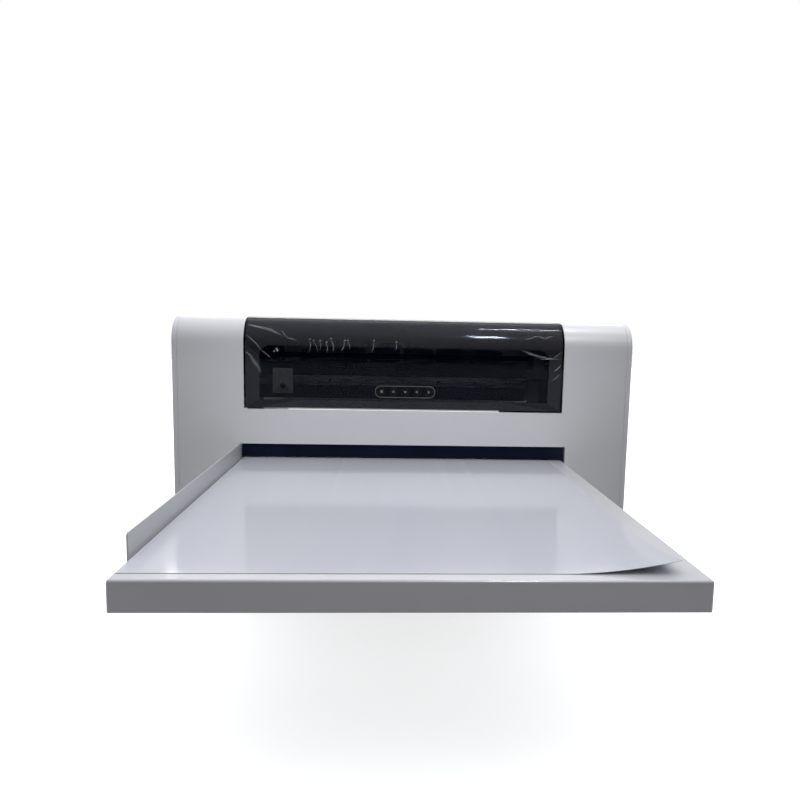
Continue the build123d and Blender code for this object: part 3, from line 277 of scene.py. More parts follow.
def smoked_acrylic():
    """Smoked acrylic that shows what is behind it only faintly."""
    finish = {"Alpha": 0.55, "IOR": 1.49, "Specular IOR Level": 0.12}
    finish["Specular Tint"] = (0.75, 0.82, 1.0, 1.0)
    low, high = (0.0002, 0.0008, 0.0050), (0.0004, 0.0012, 0.0066)
    return shade("smoked_acrylic", low, high, 120 * MM, (0.04, 0.07), 60 * MM, 0.015 * MM, fixed=finish)


def glossy_film():
    finish = {"IOR": 1.5, "Specular IOR Level": 0.3}
    low, high = (0.645, 0.655, 0.715), (0.675, 0.685, 0.74)
    streaks = (1, 0.12, 1)
    return shade("glossy_film", low, high, 70 * MM, (0.07, 0.12), 50 * MM, 0.04 * MM, 0.0, streaks, finish)


def crease_film_with_painted_sheen(name, alpha, painted_sheen_grey):
    """The peel-off film's creases: a glossy skin whose pale colour is painted highlight and painted
    reflection, standing in for the light the wrinkles catch; it greys what lies under it.
    """
    # this pale base colour is painted sheen: the light the wrinkles catch, not the film's own tint
    low = (painted_sheen_grey, painted_sheen_grey, painted_sheen_grey * 1.04)
    high = tuple(channel * 1.3 for channel in low)
    finish = {"Alpha": alpha, "Coat Weight": 1.0, "Coat Roughness": 0.04, "IOR": 1.45}
    return shade(name, low, high, 25 * MM, (0.08, 0.2), 6 * MM, 0.06 * MM, fixed=finish)


def circuit_board():
    low, high = (0.01, 0.09, 0.04), (0.02, 0.16, 0.07)
    return shade("circuit_board", low, high, 5 * MM, (0.25, 0.4), 0.7 * MM, 0.03 * MM)


def make_finishes():
    dull = {"Specular IOR Level": 0.08}
    return {
        "coat": powder_coat("white_powder_coat", (0.88, 0.88, 0.91), (0.90, 0.90, 0.93)),
        # the bed's coat is the white powder coat made darker: painted shade, so that its front lip reads as
        # shaded
        "bed_coat_painted_shade": powder_coat("bed_powder_coat_painted_shade", (0.62, 0.61, 0.64), (0.65, 0.64, 0.67)),
        "fence": powder_coat("fence_coat", (0.58, 0.59, 0.61), (0.62, 0.63, 0.65)),
        "zinc": zinc_sheet(),
        "steel_x": ground_steel("ground_steel_across", (0.05, 1, 1)),
        "steel_y": ground_steel("ground_steel_along", (1, 0.05, 1)),
        "steel_z": ground_steel("ground_steel_upright", (1, 1, 0.2)),
        "aluminium": anodised(),
        "black_anodised": black_anodised(),
        "screw": blackened_screw(),
        # the slot shield's near-black navy is painted shade: a dark sheet where the slot shows the shade
        # inside the body
        "slot_painted_shade": moulded("slot_shield_painted_shade", (0.005, 0.008, 0.026), (0.008, 0.012, 0.036), (0.35, 0.5), dull),
        "acrylic": smoked_acrylic(),
        "liner": moulded("lid_liner_grey", (0.46, 0.46, 0.52), (0.52, 0.52, 0.58)),
        "key": moulded("key_black", (0.006, 0.007, 0.011), (0.010, 0.011, 0.016), (0.18, 0.3), dull),
        "bezel": moulded("bezel_black", (0.002, 0.003, 0.006), (0.004, 0.005, 0.009), (0.25, 0.4), dull),
        "ring": moulded("key_ring_dark", (0.010, 0.010, 0.013), (0.016, 0.016, 0.019), (0.3, 0.4), dull),
        "mark": moulded("key_mark_grey", (0.20, 0.20, 0.21), (0.27, 0.27, 0.28), (0.3, 0.4), dull),
        "grey": moulded("interlock_grey", (0.50, 0.51, 0.52), (0.58, 0.59, 0.60)),
        "black": moulded("moulded_black", (0.018, 0.018, 0.020), (0.030, 0.030, 0.033)),
        "rubber": rubber(),
        "film": glossy_film(),
        "white_plastic": moulded("natural_polythene", (0.62, 0.62, 0.60), (0.70, 0.70, 0.68)),
        "board": circuit_board(),
    }


CAD_FINISHES = {
    "coat": ["front_hood", "side_panels", "rear_panel", "ink_cover"],
    # the darker copy of the white coat: painted shade on the bed and its front lip
    "bed_coat_painted_shade": ["bed_tray"],
    "fence": ["left_fence"],
    "zinc": ["base_plate", "chassis_walls", "cover_pivots", "power_supply"],
    "steel_x": ["guide_rail"],
    "steel_y": ["bed_rails"],
    "black_anodised": ["gantry_beam", "uv_lamp", "belt_brackets"],
    "aluminium": ["carriage_plate", "lift_frame", "bed_subframe", "capping_base"],
    "screw": ["cover_screws"],
    # painted shade: the dark sheet that stands for the shade inside the slot
    "slot_painted_shade": ["slot_shield"],
    "acrylic": ["lid_window"],
    "liner": ["lid_frame"],
    "bezel": ["button_bezel"],
    "key": [f"button_{number}" for number in range(1, 6)],
    "grey": ["interlock_plate"],
    "rubber": ["rubber_feet", "cap_seals"],
    "white_plastic": ["waste_tank", "ink_tray", "ink_bottles"],
    "board": ["mainboard"],
    "black": [
        "carriage_shell", "print_head", "carriage_motor", "bed_motor", "lift_motor", "fan_frame",
        "rear_connectors", "power_rocker", "cap_sled", "ink_dampers",
    ],
}


def paint_cad_nodes(finishes):
    for finish, names in CAD_FINISHES.items():
        for name in names:
            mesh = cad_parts[name].data
            mesh.materials.clear()
            mesh.materials.append(finishes[finish])


# ---- Geometry Nodes --------------------------------------------------------------------------
SOCKETS = {float: "NodeSocketFloat", int: "NodeSocketInt"}


class Growth:
    """A Geometry Nodes tree with named inputs, which ends in Realize Instances and Set Material."""

    def __init__(self, name, sizes, from_curve=False):
        self.group = bpy.data.node_groups.new(name, "GeometryNodeTree")
        face = self.group.interface
        face.new_socket("Geometry", in_out="INPUT", socket_type="NodeSocketGeometry")
        for label, value in sizes.items():
            face.new_socket(label, in_out="INPUT", socket_type=SOCKETS[type(value)]).default_value = value
        face.new_socket("Stamp", in_out="INPUT", socket_type="NodeSocketObject")
        face.new_socket("Finish", in_out="INPUT", socket_type="NodeSocketMaterial")
        face.new_socket("Geometry", in_out="OUTPUT", socket_type="NodeSocketGeometry")
        self.given = self.group.nodes.new("NodeGroupInput").outputs

    def add(self, kind, inputs=None, **settings):
        node = self.group.nodes.new(kind)
        for name, value in settings.items():
            setattr(node, name, value)
        for socket, value in (inputs or {}).items():
            if isinstance(value, bpy.types.NodeSocket):
                self.group.links.new(value, node.inputs[socket])
            else:
                node.inputs[socket].default_value = value
        return node.outputs

    def sum_of(self, operation, a, b):
        return self.add("ShaderNodeMath", {0: a, 1: b}, operation=operation)[0]

    def vector(self, x=0.0, y=0.0, z=0.0):
        return self.add("ShaderNodeCombineXYZ", {"X": x, "Y": y, "Z": z})[0]

    def end(self, *parts):
        join = self.group.nodes.new("GeometryNodeJoinGeometry")
        for part in parts:
            self.group.links.new(part, join.inputs[0])
        real = self.add("GeometryNodeRealizeInstances", {"Geometry": join.outputs[0]})
        made = self.add("GeometryNodeSetMaterial", {"Geometry": real[0], "Material": self.given["Finish"]})
        out = self.group.nodes.new("NodeGroupOutput")
        self.group.links.new(made[0], out.inputs["Geometry"])
        return self.group


def grown(group, values, seed=None):
    """The plain mesh that a tree makes."""
    base = seed or bpy.data.meshes.new("seed")
    holder = bpy.data.objects.new("holder", base)
    bpy.context.scene.collection.objects.link(holder)
    growth = holder.modifiers.new("growth", "NODES")
    growth.node_group = group
    for item in group.interface.items_tree:
        if item.in_out == "INPUT" and item.name in values:
            growth[item.identifier] = values[item.name]
    graph = bpy.context.evaluated_depsgraph_get()
    mesh = bpy.data.meshes.new_from_object(holder.evaluated_get(graph), depsgraph=graph)
    bpy.data.objects.remove(holder)
    return mesh


def piece(name, mesh, body, stands_for=(), smooth=None):
    """A finished piece at the origin, riding on its body."""
    mesh.name = name
    if smooth is not None:
        mesh.shade_smooth()
        mesh.set_sharp_from_angle(angle=math.radians(smooth))
    thing = bpy.data.objects.new(name, mesh)
    bpy.context.scene.collection.objects.link(thing)
    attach(thing, body)
    if stands_for:
        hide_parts(*stands_for)
    return thing


def ring_tree():
    """A round core with upright ribs evenly round it."""
    sizes = {"Count": 20, "Radius": 0.01, "Height": 0.01, "Rib Width": 0.001, "Rib Depth": 0.001}
    tree = Growth("ribbed_ring", sizes)
    given = tree.given
    circle = tree.add("GeometryNodeMeshCircle", {"Vertices": given["Count"], "Radius": given["Radius"]})
    rib_size = tree.vector(given["Rib Depth"], given["Rib Width"], given["Height"])
    rib = tree.add("GeometryNodeMeshCube", {"Size": rib_size})
    place = tree.add("GeometryNodeInputPosition")
    facing = tree.add("FunctionNodeAlignRotationToVector", {"Vector": place[0]}, axis="X", pivot_axis="Z")
    ribs = tree.add(
        "GeometryNodeInstanceOnPoints", {"Points": circle[0], "Instance": rib[0], "Rotation": facing[0]}
    )
    inner = tree.sum_of("SUBTRACT", given["Radius"], 0.0002)
    core = tree.add("GeometryNodeMeshCylinder", {"Vertices": 48, "Radius": inner, "Depth": given["Height"]})
    return tree.end(ribs[0], core[0])


def row_tree():
    """The stamp repeated over a flat grid."""
    tree = Growth("stamped_grid", {"Across": 4, "Along": 4, "Pitch Across": 0.01, "Pitch Along": 0.01})
    given = tree.given
    lengths = []
    for count, pitch in (("Across", "Pitch Across"), ("Along", "Pitch Along")):
        steps = tree.sum_of("SUBTRACT", given[count], 1.0)
        lengths.append(tree.sum_of("MULTIPLY", steps, given[pitch]))
    counts = {"Vertices X": given["Across"], "Vertices Y": given["Along"]}
    grid = tree.add("GeometryNodeMeshGrid", {"Size X": lengths[0], "Size Y": lengths[1], **counts})
    stamp = tree.add("GeometryNodeObjectInfo", {"Object": given["Stamp"]})
    set_out = tree.add("GeometryNodeInstanceOnPoints", {"Points": grid[0], "Instance": stamp["Geometry"]})
    return tree.end(set_out[0])


def screw_tree():
    """A lead screw: a round core, its thread, and a toothed wheel between two flanges at its foot."""
    sizes = {
        "Length": 0.1, "Radius": 0.004, "Pitch": 0.002, "Wheel Radius": 0.0064, "Wheel Width": 0.0066,
        "Wheel Height": 0.01, "Teeth": 20,
    }
    tree = Growth("lead_screw", sizes)
    given = tree.given
    crest = tree.sum_of("SUBTRACT", given["Radius"], 0.0005)
    turns = tree.sum_of("DIVIDE", given["Length"], given["Pitch"])
    height = tree.sum_of("SUBTRACT", given["Length"], 0.002)
    path = tree.add(
        "GeometryNodeCurveSpiral",
        {"Resolution": 18, "Rotations": turns, "Start Radius": crest, "End Radius": crest, "Height": height},
    )
    ridge = tree.add("GeometryNodeCurvePrimitiveCircle", {"Resolution": 4, "Radius": 0.0005})
    thread = tree.add(
        "GeometryNodeCurveToMesh", {"Curve": path[0], "Profile Curve": ridge[0], "Fill Caps": True}
    )
    lifted = tree.add("GeometryNodeTransform", {"Geometry": thread[0], "Translation": (0, 0, 0.001)})
    inner = tree.sum_of("SUBTRACT", given["Radius"], 0.0007)
    core = tree.add("GeometryNodeMeshCylinder", {"Vertices": 32, "Radius": inner, "Depth": given["Length"]})
    middle = tree.vector(z=tree.sum_of("MULTIPLY", given["Length"], 0.5))
    core_up = tree.add("GeometryNodeTransform", {"Geometry": core[0], "Translation": middle})
    circle = tree.add("GeometryNodeMeshCircle", {"Vertices": given["Teeth"], "Radius": given["Wheel Radius"]})
    tooth = tree.add("GeometryNodeMeshCube", {"Size": tree.vector(0.0008, 0.0009, given["Wheel Width"])})
    place = tree.add("GeometryNodeInputPosition")
    facing = tree.add("FunctionNodeAlignRotationToVector", {"Vector": place[0]}, axis="X", pivot_axis="Z")
    teeth = tree.add(
        "GeometryNodeInstanceOnPoints", {"Points": circle[0], "Instance": tooth[0], "Rotation": facing[0]}
    )
    hub_radius = tree.sum_of("SUBTRACT", given["Wheel Radius"], 0.0003)
    hub = tree.add(
        "GeometryNodeMeshCylinder", {"Vertices": 40, "Radius": hub_radius, "Depth": given["Wheel Width"]}
    )
    flange_radius = tree.sum_of("ADD", given["Wheel Radius"], 0.0024)
    flange = tree.add("GeometryNodeMeshCylinder", {"Vertices": 48, "Radius": flange_radius, "Depth": 0.0011})
    parts = [teeth[0], hub[0]]
    half = tree.sum_of("MULTIPLY", given["Wheel Width"], 0.5)
    offset = tree.sum_of("ADD", half, 0.00055)
    for sign in (-1.0, 1.0):
        shift = tree.vector(z=tree.sum_of("MULTIPLY", offset, sign))
        parts.append(tree.add("GeometryNodeTransform", {"Geometry": flange[0], "Translation": shift})[0])
    wheel = tree.group.nodes.new("GeometryNodeJoinGeometry")
    for part in parts:
        tree.group.links.new(part, wheel.inputs[0])
    rise = tree.vector(z=given["Wheel Height"])
    wheel_up = tree.add("GeometryNodeTransform", {"Geometry": wheel.outputs[0], "Translation": rise})
    return tree.end(lifted[0], core_up[0], wheel_up[0])


def belt_tree():
    """A flat band along a closed path, with teeth on its inner face."""
    sizes = {"Pitch": 0.002, "Width": 0.008, "Thickness": 0.0012, "Tooth": 0.0009}
    tree = Growth("toothed_belt", sizes)
    given = tree.given
    section = tree.add(
        "GeometryNodeCurvePrimitiveQuadrilateral", {"Width": given["Thickness"], "Height": given["Width"]}
    )
    band = tree.add("GeometryNodeCurveToMesh", {"Curve": given["Geometry"], "Profile Curve": section[0]})
    spacing = {"Curve": given["Geometry"], "Length": given["Pitch"]}
    stops = tree.add("GeometryNodeCurveToPoints", spacing, mode="LENGTH")
    tooth = tree.vector(given["Tooth"], given["Width"], given["Tooth"])
    block = tree.add("GeometryNodeMeshCube", {"Size": tooth})
    teeth = tree.add(
        "GeometryNodeInstanceOnPoints",
        {"Points": stops["Points"], "Instance": block[0], "Rotation": stops["Rotation"]},
    )
    return tree.end(band[0], teeth[0])


def fan_tree():
    """The stamp repeated evenly round an upright axis, with a hub."""
    tree = Growth("blades_round_a_hub", {"Count": 7, "Hub Radius": 0.015, "Hub Depth": 0.017})
    given = tree.given
    circle = tree.add("GeometryNodeMeshCircle", {"Vertices": given["Count"], "Radius": given["Hub Radius"]})
    stamp = tree.add("GeometryNodeObjectInfo", {"Object": given["Stamp"]})
    place = tree.add("GeometryNodeInputPosition")
    facing = tree.add("FunctionNodeAlignRotationToVector", {"Vector": place[0]}, axis="X", pivot_axis="Z")
    blades = tree.add(
        "GeometryNodeInstanceOnPoints",
        {"Points": circle[0], "Instance": stamp["Geometry"], "Rotation": facing[0]},
    )
    hub = tree.add(
        "GeometryNodeMeshCylinder",
        {"Vertices": 48, "Radius": given["Hub Radius"], "Depth": given["Hub Depth"]},
    )
    return tree.end(blades[0], hub[0])


def thick_skin(shape, grid, offset):
    """A closed skin between a grid of points and the same grid moved by the offset."""
    rows, columns = len(grid), len(grid[0])
    top = [[shape.verts.new(point) for point in row] for row in grid]
    under = [[shape.verts.new(point + offset) for point in row] for row in grid]
    for j in range(rows - 1):
        for i in range(columns - 1):
            shape.faces.new((top[j][i], top[j][i + 1], top[j + 1][i + 1], top[j + 1][i]))
            shape.faces.new((under[j][i], under[j + 1][i], under[j + 1][i + 1], under[j][i + 1]))
    edge = [(0, i) for i in range(columns)] + [(j, columns - 1) for j in range(1, rows)]
    edge += [(rows - 1, i) for i in range(columns - 2, -1, -1)] + [(j, 0) for j in range(rows - 2, 0, -1)]
    for (j, i), (n, m) in zip(edge, edge[1:] + edge[:1]):
        shape.faces.new((top[j][i], under[j][i], under[n][m], top[n][m]))


# ---- Stamps that the trees repeat --------------------------------------------------------------
def stamp(name, build):
    shape = bmesh.new()
    build(shape)
    bmesh.ops.recalc_face_normals(shape, faces=shape.faces)
    mesh = bpy.data.meshes.new(name)
    shape.to_mesh(mesh)
    shape.free()
    holder = bpy.data.objects.new(name, mesh)
    bpy.context.scene.collection.objects.link(holder)
    return holder


def turned(shape, profile, sides):
    """A closed turned form about Z from (radius, height) points that start and end on the axis."""
    rings = []
    for radius, height in profile:
        if radius == 0:
            rings.append([shape.verts.new((0, 0, height))])
            continue
        angles = [2 * math.pi * i / sides for i in range(sides)]
        rings.append([shape.verts.new((radius * math.cos(a), radius * math.sin(a), height)) for a in angles])
    for low, high in zip(rings, rings[1:]):
        for i in range(sides):
            j = (i + 1) % sides
            if len(low) == 1:
                shape.faces.new((low[0], high[i], high[j]))
            elif len(high) == 1:
                shape.faces.new((low[i], high[0], low[j]))
            else:
                shape.faces.new((low[i], high[i], high[j], low[j]))


def socket_screw(shape):
    """A cap screw's head with the socket in its top, turned with twelve sides."""
    socket, head, height = 1.3 * MM, 2.7 * MM, 2.8 * MM
    profile = [(0, 0), (head, 0), (head, height - 0.4 * MM), (head - 0.4 * MM, height), (socket, height),
               (socket, height - 1.4 * MM), (0, height - 1.4 * MM)]
    turned(shape, profile, 12)


def led_dome(shape):
    """A small lamp with its domed lens."""
    turned(shape, [(0, 0), (1.5 * MM, 0), (1.5 * MM, 0.5 * MM), (1.0 * MM, 1.1 * MM), (0, 1.4 * MM)], 8)


def nozzle_dot(shape):
    """One raised nozzle."""
    turned(shape, [(0, 0), (0.28 * MM, 0), (0.2 * MM, 0.12 * MM), (0, 0.12 * MM)], 6)


def capacitor(shape):
    """A can with a rolled groove near its foot and a dished top."""
    can, groove, top = 3 * MM, 2.7 * MM, 7 * MM
    profile = [(0, 0), (can, 0), (can, 0.8 * MM), (groove, 1.1 * MM), (can, 1.4 * MM), (can, top),
               (can - 0.4 * MM, top + 0.4 * MM), (0, top + 0.2 * MM)]
    turned(shape, profile, 16)


def header_pin(shape):
    """A square pin that stands on the board."""
    side, height = 0.64 * MM, 6 * MM
    bmesh.ops.create_cube(shape, size=1.0)
    bmesh.ops.scale(shape, vec=(side, side, height), verts=shape.verts)
    bmesh.ops.translate(shape, vec=(0, 0, height / 2), verts=shape.verts)


def fan_blade(reach):
    """One swept, twisted blade that grows along +X from the hub."""
    across, along = 7, 9

    def build(shape):
        grid = []
        for i in range(along + 1):
            t = i / along
            radius = -1.5 * MM + t * reach
            twist = math.radians(48 - 22 * t)
            chord = (15 + 9 * t) * MM
            sweep = 0.22 * t * t * reach
            row = []
            for j in range(across + 1):
                s = j / across - 0.5
                camber = 1.6 * MM * (1 - 4 * s * s)
                y = s * chord * math.cos(twist) + sweep - camber * math.sin(twist)
                z = s * chord * math.sin(twist) * 0.8 + camber * math.cos(twist)
                row.append(Vector((radius, y, z)))
            grid.append(row)
        thick_skin(shape, grid, Vector((0, 0, -1.1 * MM)))

    return build


# ---- Inner machine ----------------------------------------------------------------------------
def moved(mesh, place, turn=None):
    """The mesh turned, then put in its place."""
    mesh.transform(Matrix.Translation(place) @ (turn or Matrix.Identity(4)))
    return mesh


def middle_of(node):
    low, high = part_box(node)
    return (low + high) / 2


def make_lead_screws(finishes):
    tree = screw_tree()
    belt = middle_of("lift_belt").z
    for end in ("front", "rear"):
        for side in ("left", "right"):
            node = f"lift_screw_{end}_{side}"
            low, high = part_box(node)
            values = {"Length": high.z - low.z, "Wheel Height": belt - low.z, "Finish": finishes["steel_z"]}
            mesh = grown(tree, values)
            foot = Vector(((low.x + high.x) / 2, (low.y + high.y) / 2, low.z))
            piece(f"threaded_{node}", moved(mesh, foot), f"screw_{end}_{side}", [node], 40)


def make_belt_wheels(finishes):
    """The ribbed wheels on the motors and idlers."""
    tree = ring_tree()
    lying = Matrix.Rotation(math.radians(90), 4, "Y")
    wheels = {
        "lift_motor_pulley": ("lift_pulley", None, "aluminium"),
        "carriage_drive_pulley": ("carriage_drive", None, "black_anodised"),
        "carriage_idler_pulley": ("carriage_idler", None, "black_anodised"),
        "bed_drive_pulley": ("bed_drive", lying, "aluminium"),
        "bed_idler_pulley": ("bed_idler", lying, "aluminium"),
    }
    for node, (body, turn, finish) in wheels.items():
        low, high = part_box(node)
        size = high - low
        width = size.x if turn else size.z
        across = size.y
        values = {
            "Count": 22, "Radius": across / 2 - 2.6 * MM, "Height": width - 2.6 * MM, "Rib Width": 0.9 * MM,
            "Rib Depth": 0.8 * MM, "Finish": finishes[finish],
        }
        shape = bmesh.new()
        shape.from_mesh(grown(tree, values))
        for side in (-1, 1):
            spot = Matrix.Translation((0, 0, side * (width / 2 - 0.7 * MM)))
            rim = {"radius1": across / 2, "radius2": across / 2, "depth": 1.2 * MM}
            bmesh.ops.create_cone(shape, cap_ends=True, segments=48, matrix=spot, **rim)
        mesh = bpy.data.meshes.new(node)
        shape.to_mesh(mesh)
        shape.free()
        mesh.materials.append(finishes[finish])
        piece(f"toothed_{node}", moved(mesh, (low + high) / 2, turn), body, [node], 40)


def belt_path(span_x, span_y, radius):
    """A closed path round the corners of a rectangle, each with its own arc."""
    points = []
    steps = 10
    corners = ((1, 1, 0), (-1, 1, 90), (-1, -1, 180), (1, -1, 270))
    for sx, sy, start in corners:
        for i in range(steps + 1):
            angle = math.radians(start + 90 * i / steps)
            x = sx * span_x / 2 + radius * math.cos(angle)
            y = sy * span_y / 2 + radius * math.sin(angle)
            points.append(Vector((x, y, 0)))
    kept = [p for i, p in enumerate(points) if (p - points[i - 1]).length > 1e-6]
    curve = bpy.data.curves.new("belt_path", "CURVE")
    curve.dimensions = "3D"
    spline = curve.splines.new("POLY")
    spline.points.add(len(kept) - 1)
    for point, place in zip(spline.points, kept):
        point.co = (*place, 1)
    spline.use_cyclic_u = True
    return curve


def make_belts(finishes):
    """The three toothed belts, each in the space of its plain loop."""
    tree = belt_tree()
    upright = Matrix.Rotation(math.radians(90), 4, "Y")
    belts = {
        "carriage_belt": ("frame", None, 7.0),
        "lift_belt": ("frame", None, 6.4),
        "bed_belt": ("lift_carriers", upright, 6.4),
    }
    for node, (body, turn, wheel) in belts.items():
        low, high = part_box(node)
        size = high - low
        width = size.x if turn else size.z
        long_x = size.z if turn else size.x
        radius = wheel * MM + 1.0 * MM
        outer = 2 * radius + 1.4 * MM
        path = belt_path(long_x - outer, size.y - outer, radius)
        values = {"Width": width, "Finish": finishes["rubber"]}
        mesh = grown(tree, values, path)
        piece(f"toothed_{node}", moved(mesh, (low + high) / 2, turn), body, [node], 40)


def make_fan(finishes):
    low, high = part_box("fan_rotor")
    hub = 15 * MM
    reach = (high.z - low.z) / 2 - hub - 1 * MM
    blade = stamp("fan_blade", fan_blade(reach))
    values = {"Stamp": blade, "Hub Depth": high.y - low.y - 1 * MM, "Finish": finishes["black"]}
    mesh = grown(fan_tree(), values)
    bpy.data.objects.remove(blade)
    facing = Matrix.Rotation(math.radians(90), 4, "X")
    place = Vector((middle_of("fan_frame").x, (low.y + high.y) / 2, middle_of("fan_frame").z))
    piece("swept_fan_rotor", moved(mesh, place, facing), "fan", ["fan_rotor"], 35)


def make_repeats(finishes):
    """Rows of small fittings on the rails, the lamp, the head and the board."""
    tree = row_tree()

    def row(name, build, values, place, turn, body, slot, finish):
        holder = stamp(name, build)
        mesh = grown(tree, {**values, "Stamp": holder, "Finish": finishes[finish]})
        bpy.data.objects.remove(holder)
        piece(name, moved(mesh, place, turn), body, smooth=35)

    low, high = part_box("uv_lamp")
    down = Matrix.Rotation(math.pi, 4, "X")
    lamp_face = Vector(((low.x + high.x) / 2 - 1 * MM, (low.y + high.y) / 2, low.z + 0.2 * MM))
    leds = {"Across": 6, "Along": 14, "Pitch Across": 4.6 * MM, "Pitch Along": 4.6 * MM}
    row("lamp_leds", led_dome, leds, lamp_face, down, "carriage", "film", "film")

    low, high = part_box("print_head")
    plate = Vector(((low.x + high.x) / 2, (low.y + high.y) / 2, low.z + 0.02 * MM))
    nozzles = {"Across": 6, "Along": 60, "Pitch Across": 5 * MM, "Pitch Along": 0.95 * MM}
    row("head_nozzles", nozzle_dot, nozzles, plate, down, "carriage", "rail_steel", "steel_x")

    low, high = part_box("mainboard")
    outward = Matrix.Rotation(math.radians(-90), 4, "Y")
    face = high.x - 7.6 * MM  # the board stands on 6 mm spacers and is 1.6 mm thick
    caps = {"Across": 2, "Along": 5, "Pitch Across": 10 * MM, "Pitch Along": 16 * MM}
    spot = Vector((face, low.y + 110 * MM, low.z + 66 * MM))
    row("board_capacitors", capacitor, caps, spot, outward, "frame", "aluminium", "aluminium")
    pins = {"Across": 2, "Along": 20, "Pitch Across": 2.54 * MM, "Pitch Along": 2.54 * MM}
    spot = Vector((face, low.y + 76 * MM, low.z + 8 * MM))
    row("board_pins", header_pin, pins, spot, outward, "frame", "rail_steel", "steel_x")

    low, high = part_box("bed_rails")
    block = {"Across": 2, "Along": 12, "Pitch Across": 300 * MM, "Pitch Along": 58 * MM}
    spot = Vector(((low.x + high.x) / 2, (low.y + high.y) / 2, high.z - 2.4 * MM))
    row("rail_screws", socket_screw, block, spot, None, "lift_carriers", "zinc_screw", "screw")


def make_bottle_caps(finishes):
    """Ribbed rings round the caps of the ink bottles."""
    tree = ring_tree()
    low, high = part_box("ink_bottles")
    bottles, pitch = 6, 60 * MM
    ribs_down = 7.2 * MM  # from a cap's top to the middle of its ribs
    shape = bmesh.new()
    values = {
        "Count": 30, "Radius": 14 * MM, "Height": 11 * MM, "Rib Width": 1.3 * MM, "Rib Depth": 0.9 * MM,
        "Finish": finishes["black"],
    }
    ring = grown(tree, values)
    for i in range(bottles):
        start = len(shape.verts)
        shape.from_mesh(ring)
        shape.verts.ensure_lookup_table()
        spot = Vector(((i - (bottles - 1) / 2) * pitch, (low.y + high.y) / 2, high.z - ribs_down))
        bmesh.ops.translate(shape, vec=spot, verts=shape.verts[start:])
    mesh = bpy.data.meshes.new("bottle_cap_ribs")
    shape.to_mesh(mesh)
    shape.free()
    mesh.materials.append(finishes["black"])
    piece("bottle_cap_ribs", mesh, "frame", smooth=35)


# ---- Print film ------------------------------------------------------------------------------
CURL_HEIGHT = 11 * MM
CURL_START_X = 96 * MM  # in from the right edge
CURL_START_Y = 130 * MM  # behind the front edge
FILM_SHEET = 0.4 * MM
FILM_FOLDS = ((-85 * MM, 0.42 * MM), (53 * MM, 0.30 * MM), (84 * MM, 0.38 * MM))  # place across and height


def film_lift(x, y):
    """How high the film stands off the bed: a curled corner, a faint ripple and folds near the slot."""
    across = max(0.0, 1 - (film_high.x - x) / CURL_START_X)
    along = max(0.0, 1 - (y - film_low.y) / CURL_START_Y)
    outside = min(1.0, max(0.0, (front_y - 60 * MM - y) / (120 * MM)))
    ripple = 0.10 * MM * outside * (1 + math.sin(x * 21) * math.sin(y * 17 + 1.3))
    near_slot = min(1.0, max(0.0, (y - front_y + 240 * MM) / (120 * MM)))
    folds = sum(height * math.exp(-(((x - place) / (3.4 * MM)) ** 2)) for place, height in FILM_FOLDS)
    return CURL_HEIGHT * across**2 * along**2 + ripple + folds * near_slot


def make_print_film(finishes):
    across, along = 215, 100
    size = film_high - film_low
    shape = bmesh.new()
    grid = []
    for j in range(along + 1):
        y = film_low.y + size.y * j / along
        xs = [film_low.x + size.x * i / across for i in range(across + 1)]
        grid.append([Vector((x, y, film_low.z + FILM_SHEET + film_lift(x, y))) for x in xs])
    thick_skin(shape, grid, Vector((0, 0, -0.9 * FILM_SHEET)))
    bmesh.ops.recalc_face_normals(shape, faces=shape.faces)
    mesh = bpy.data.meshes.new("print_film")
    shape.to_mesh(mesh)
    shape.free()
    mesh.materials.append(finishes["film"])
    film = piece("laid_print_film", mesh, "bed", ["print_film"], 50)
    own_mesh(film)


# ---- Lid --------------------------------------------------------------------------------------
SKIN_LIFT = 0.10 * MM
FLAT_RISE = top_z - BEND_RADIUS - lid_low.z


def on_lid(u, v, lift):
    """The point at u across and v up the lid's skin, lifted off it."""
    if v <= FLAT_RISE:
        return Vector((u, front_y - lift, lid_low.z + v))
    angle = (v - FLAT_RISE) / BEND_RADIUS
    reach = BEND_RADIUS + lift
    y = BEND_CENTRE[0] - reach * math.cos(angle)
    return Vector((u, y, BEND_CENTRE[1] + reach * math.sin(angle)))


def crease(shape, start, end, width, height, bow=0.05):
    """A pinched ridge on the lid's skin from start to end, uneven along its crest and tapered at its ends."""
    start, end = Vector(start), Vector(end)
    along = end - start
    steps = max(8, int(along.length / (1.2 * MM)))
    side = Vector((-along.y, along.x)).normalized()
    rows = []
    for i in range(steps + 1):
        t = i / steps
        swell = math.sin(math.pi * t) ** 0.6 * random.uniform(0.45, 1.0) + 0.02
        drift = along.length * bow * math.sin(math.pi * t) + random.uniform(-0.12, 0.12) * width
        centre = start + along * t + side * drift
        row = []
        for place, lift in ((-1, 0.0), (-0.3, 0.6), (0, 1), (0.3, 0.6), (1, 0.0)):
            spot = centre + side * place * width * swell / 2
            row.append(on_lid(spot.x, spot.y, lift * height * swell + SKIN_LIFT))
        rows.append(row)
    thick_skin(shape, rows, Vector((0, SKIN_LIFT * 0.8, 0)))


def film_piece(name, shape, film):
    """A finished patch of the peel-off film on the lid."""
    bmesh.ops.recalc_face_normals(shape, faces=shape.faces)
    mesh = bpy.data.meshes.new(name)
    shape.to_mesh(mesh)
    shape.free()
    mesh.materials.append(film)
    return piece(name, mesh, "lid", smooth=60)


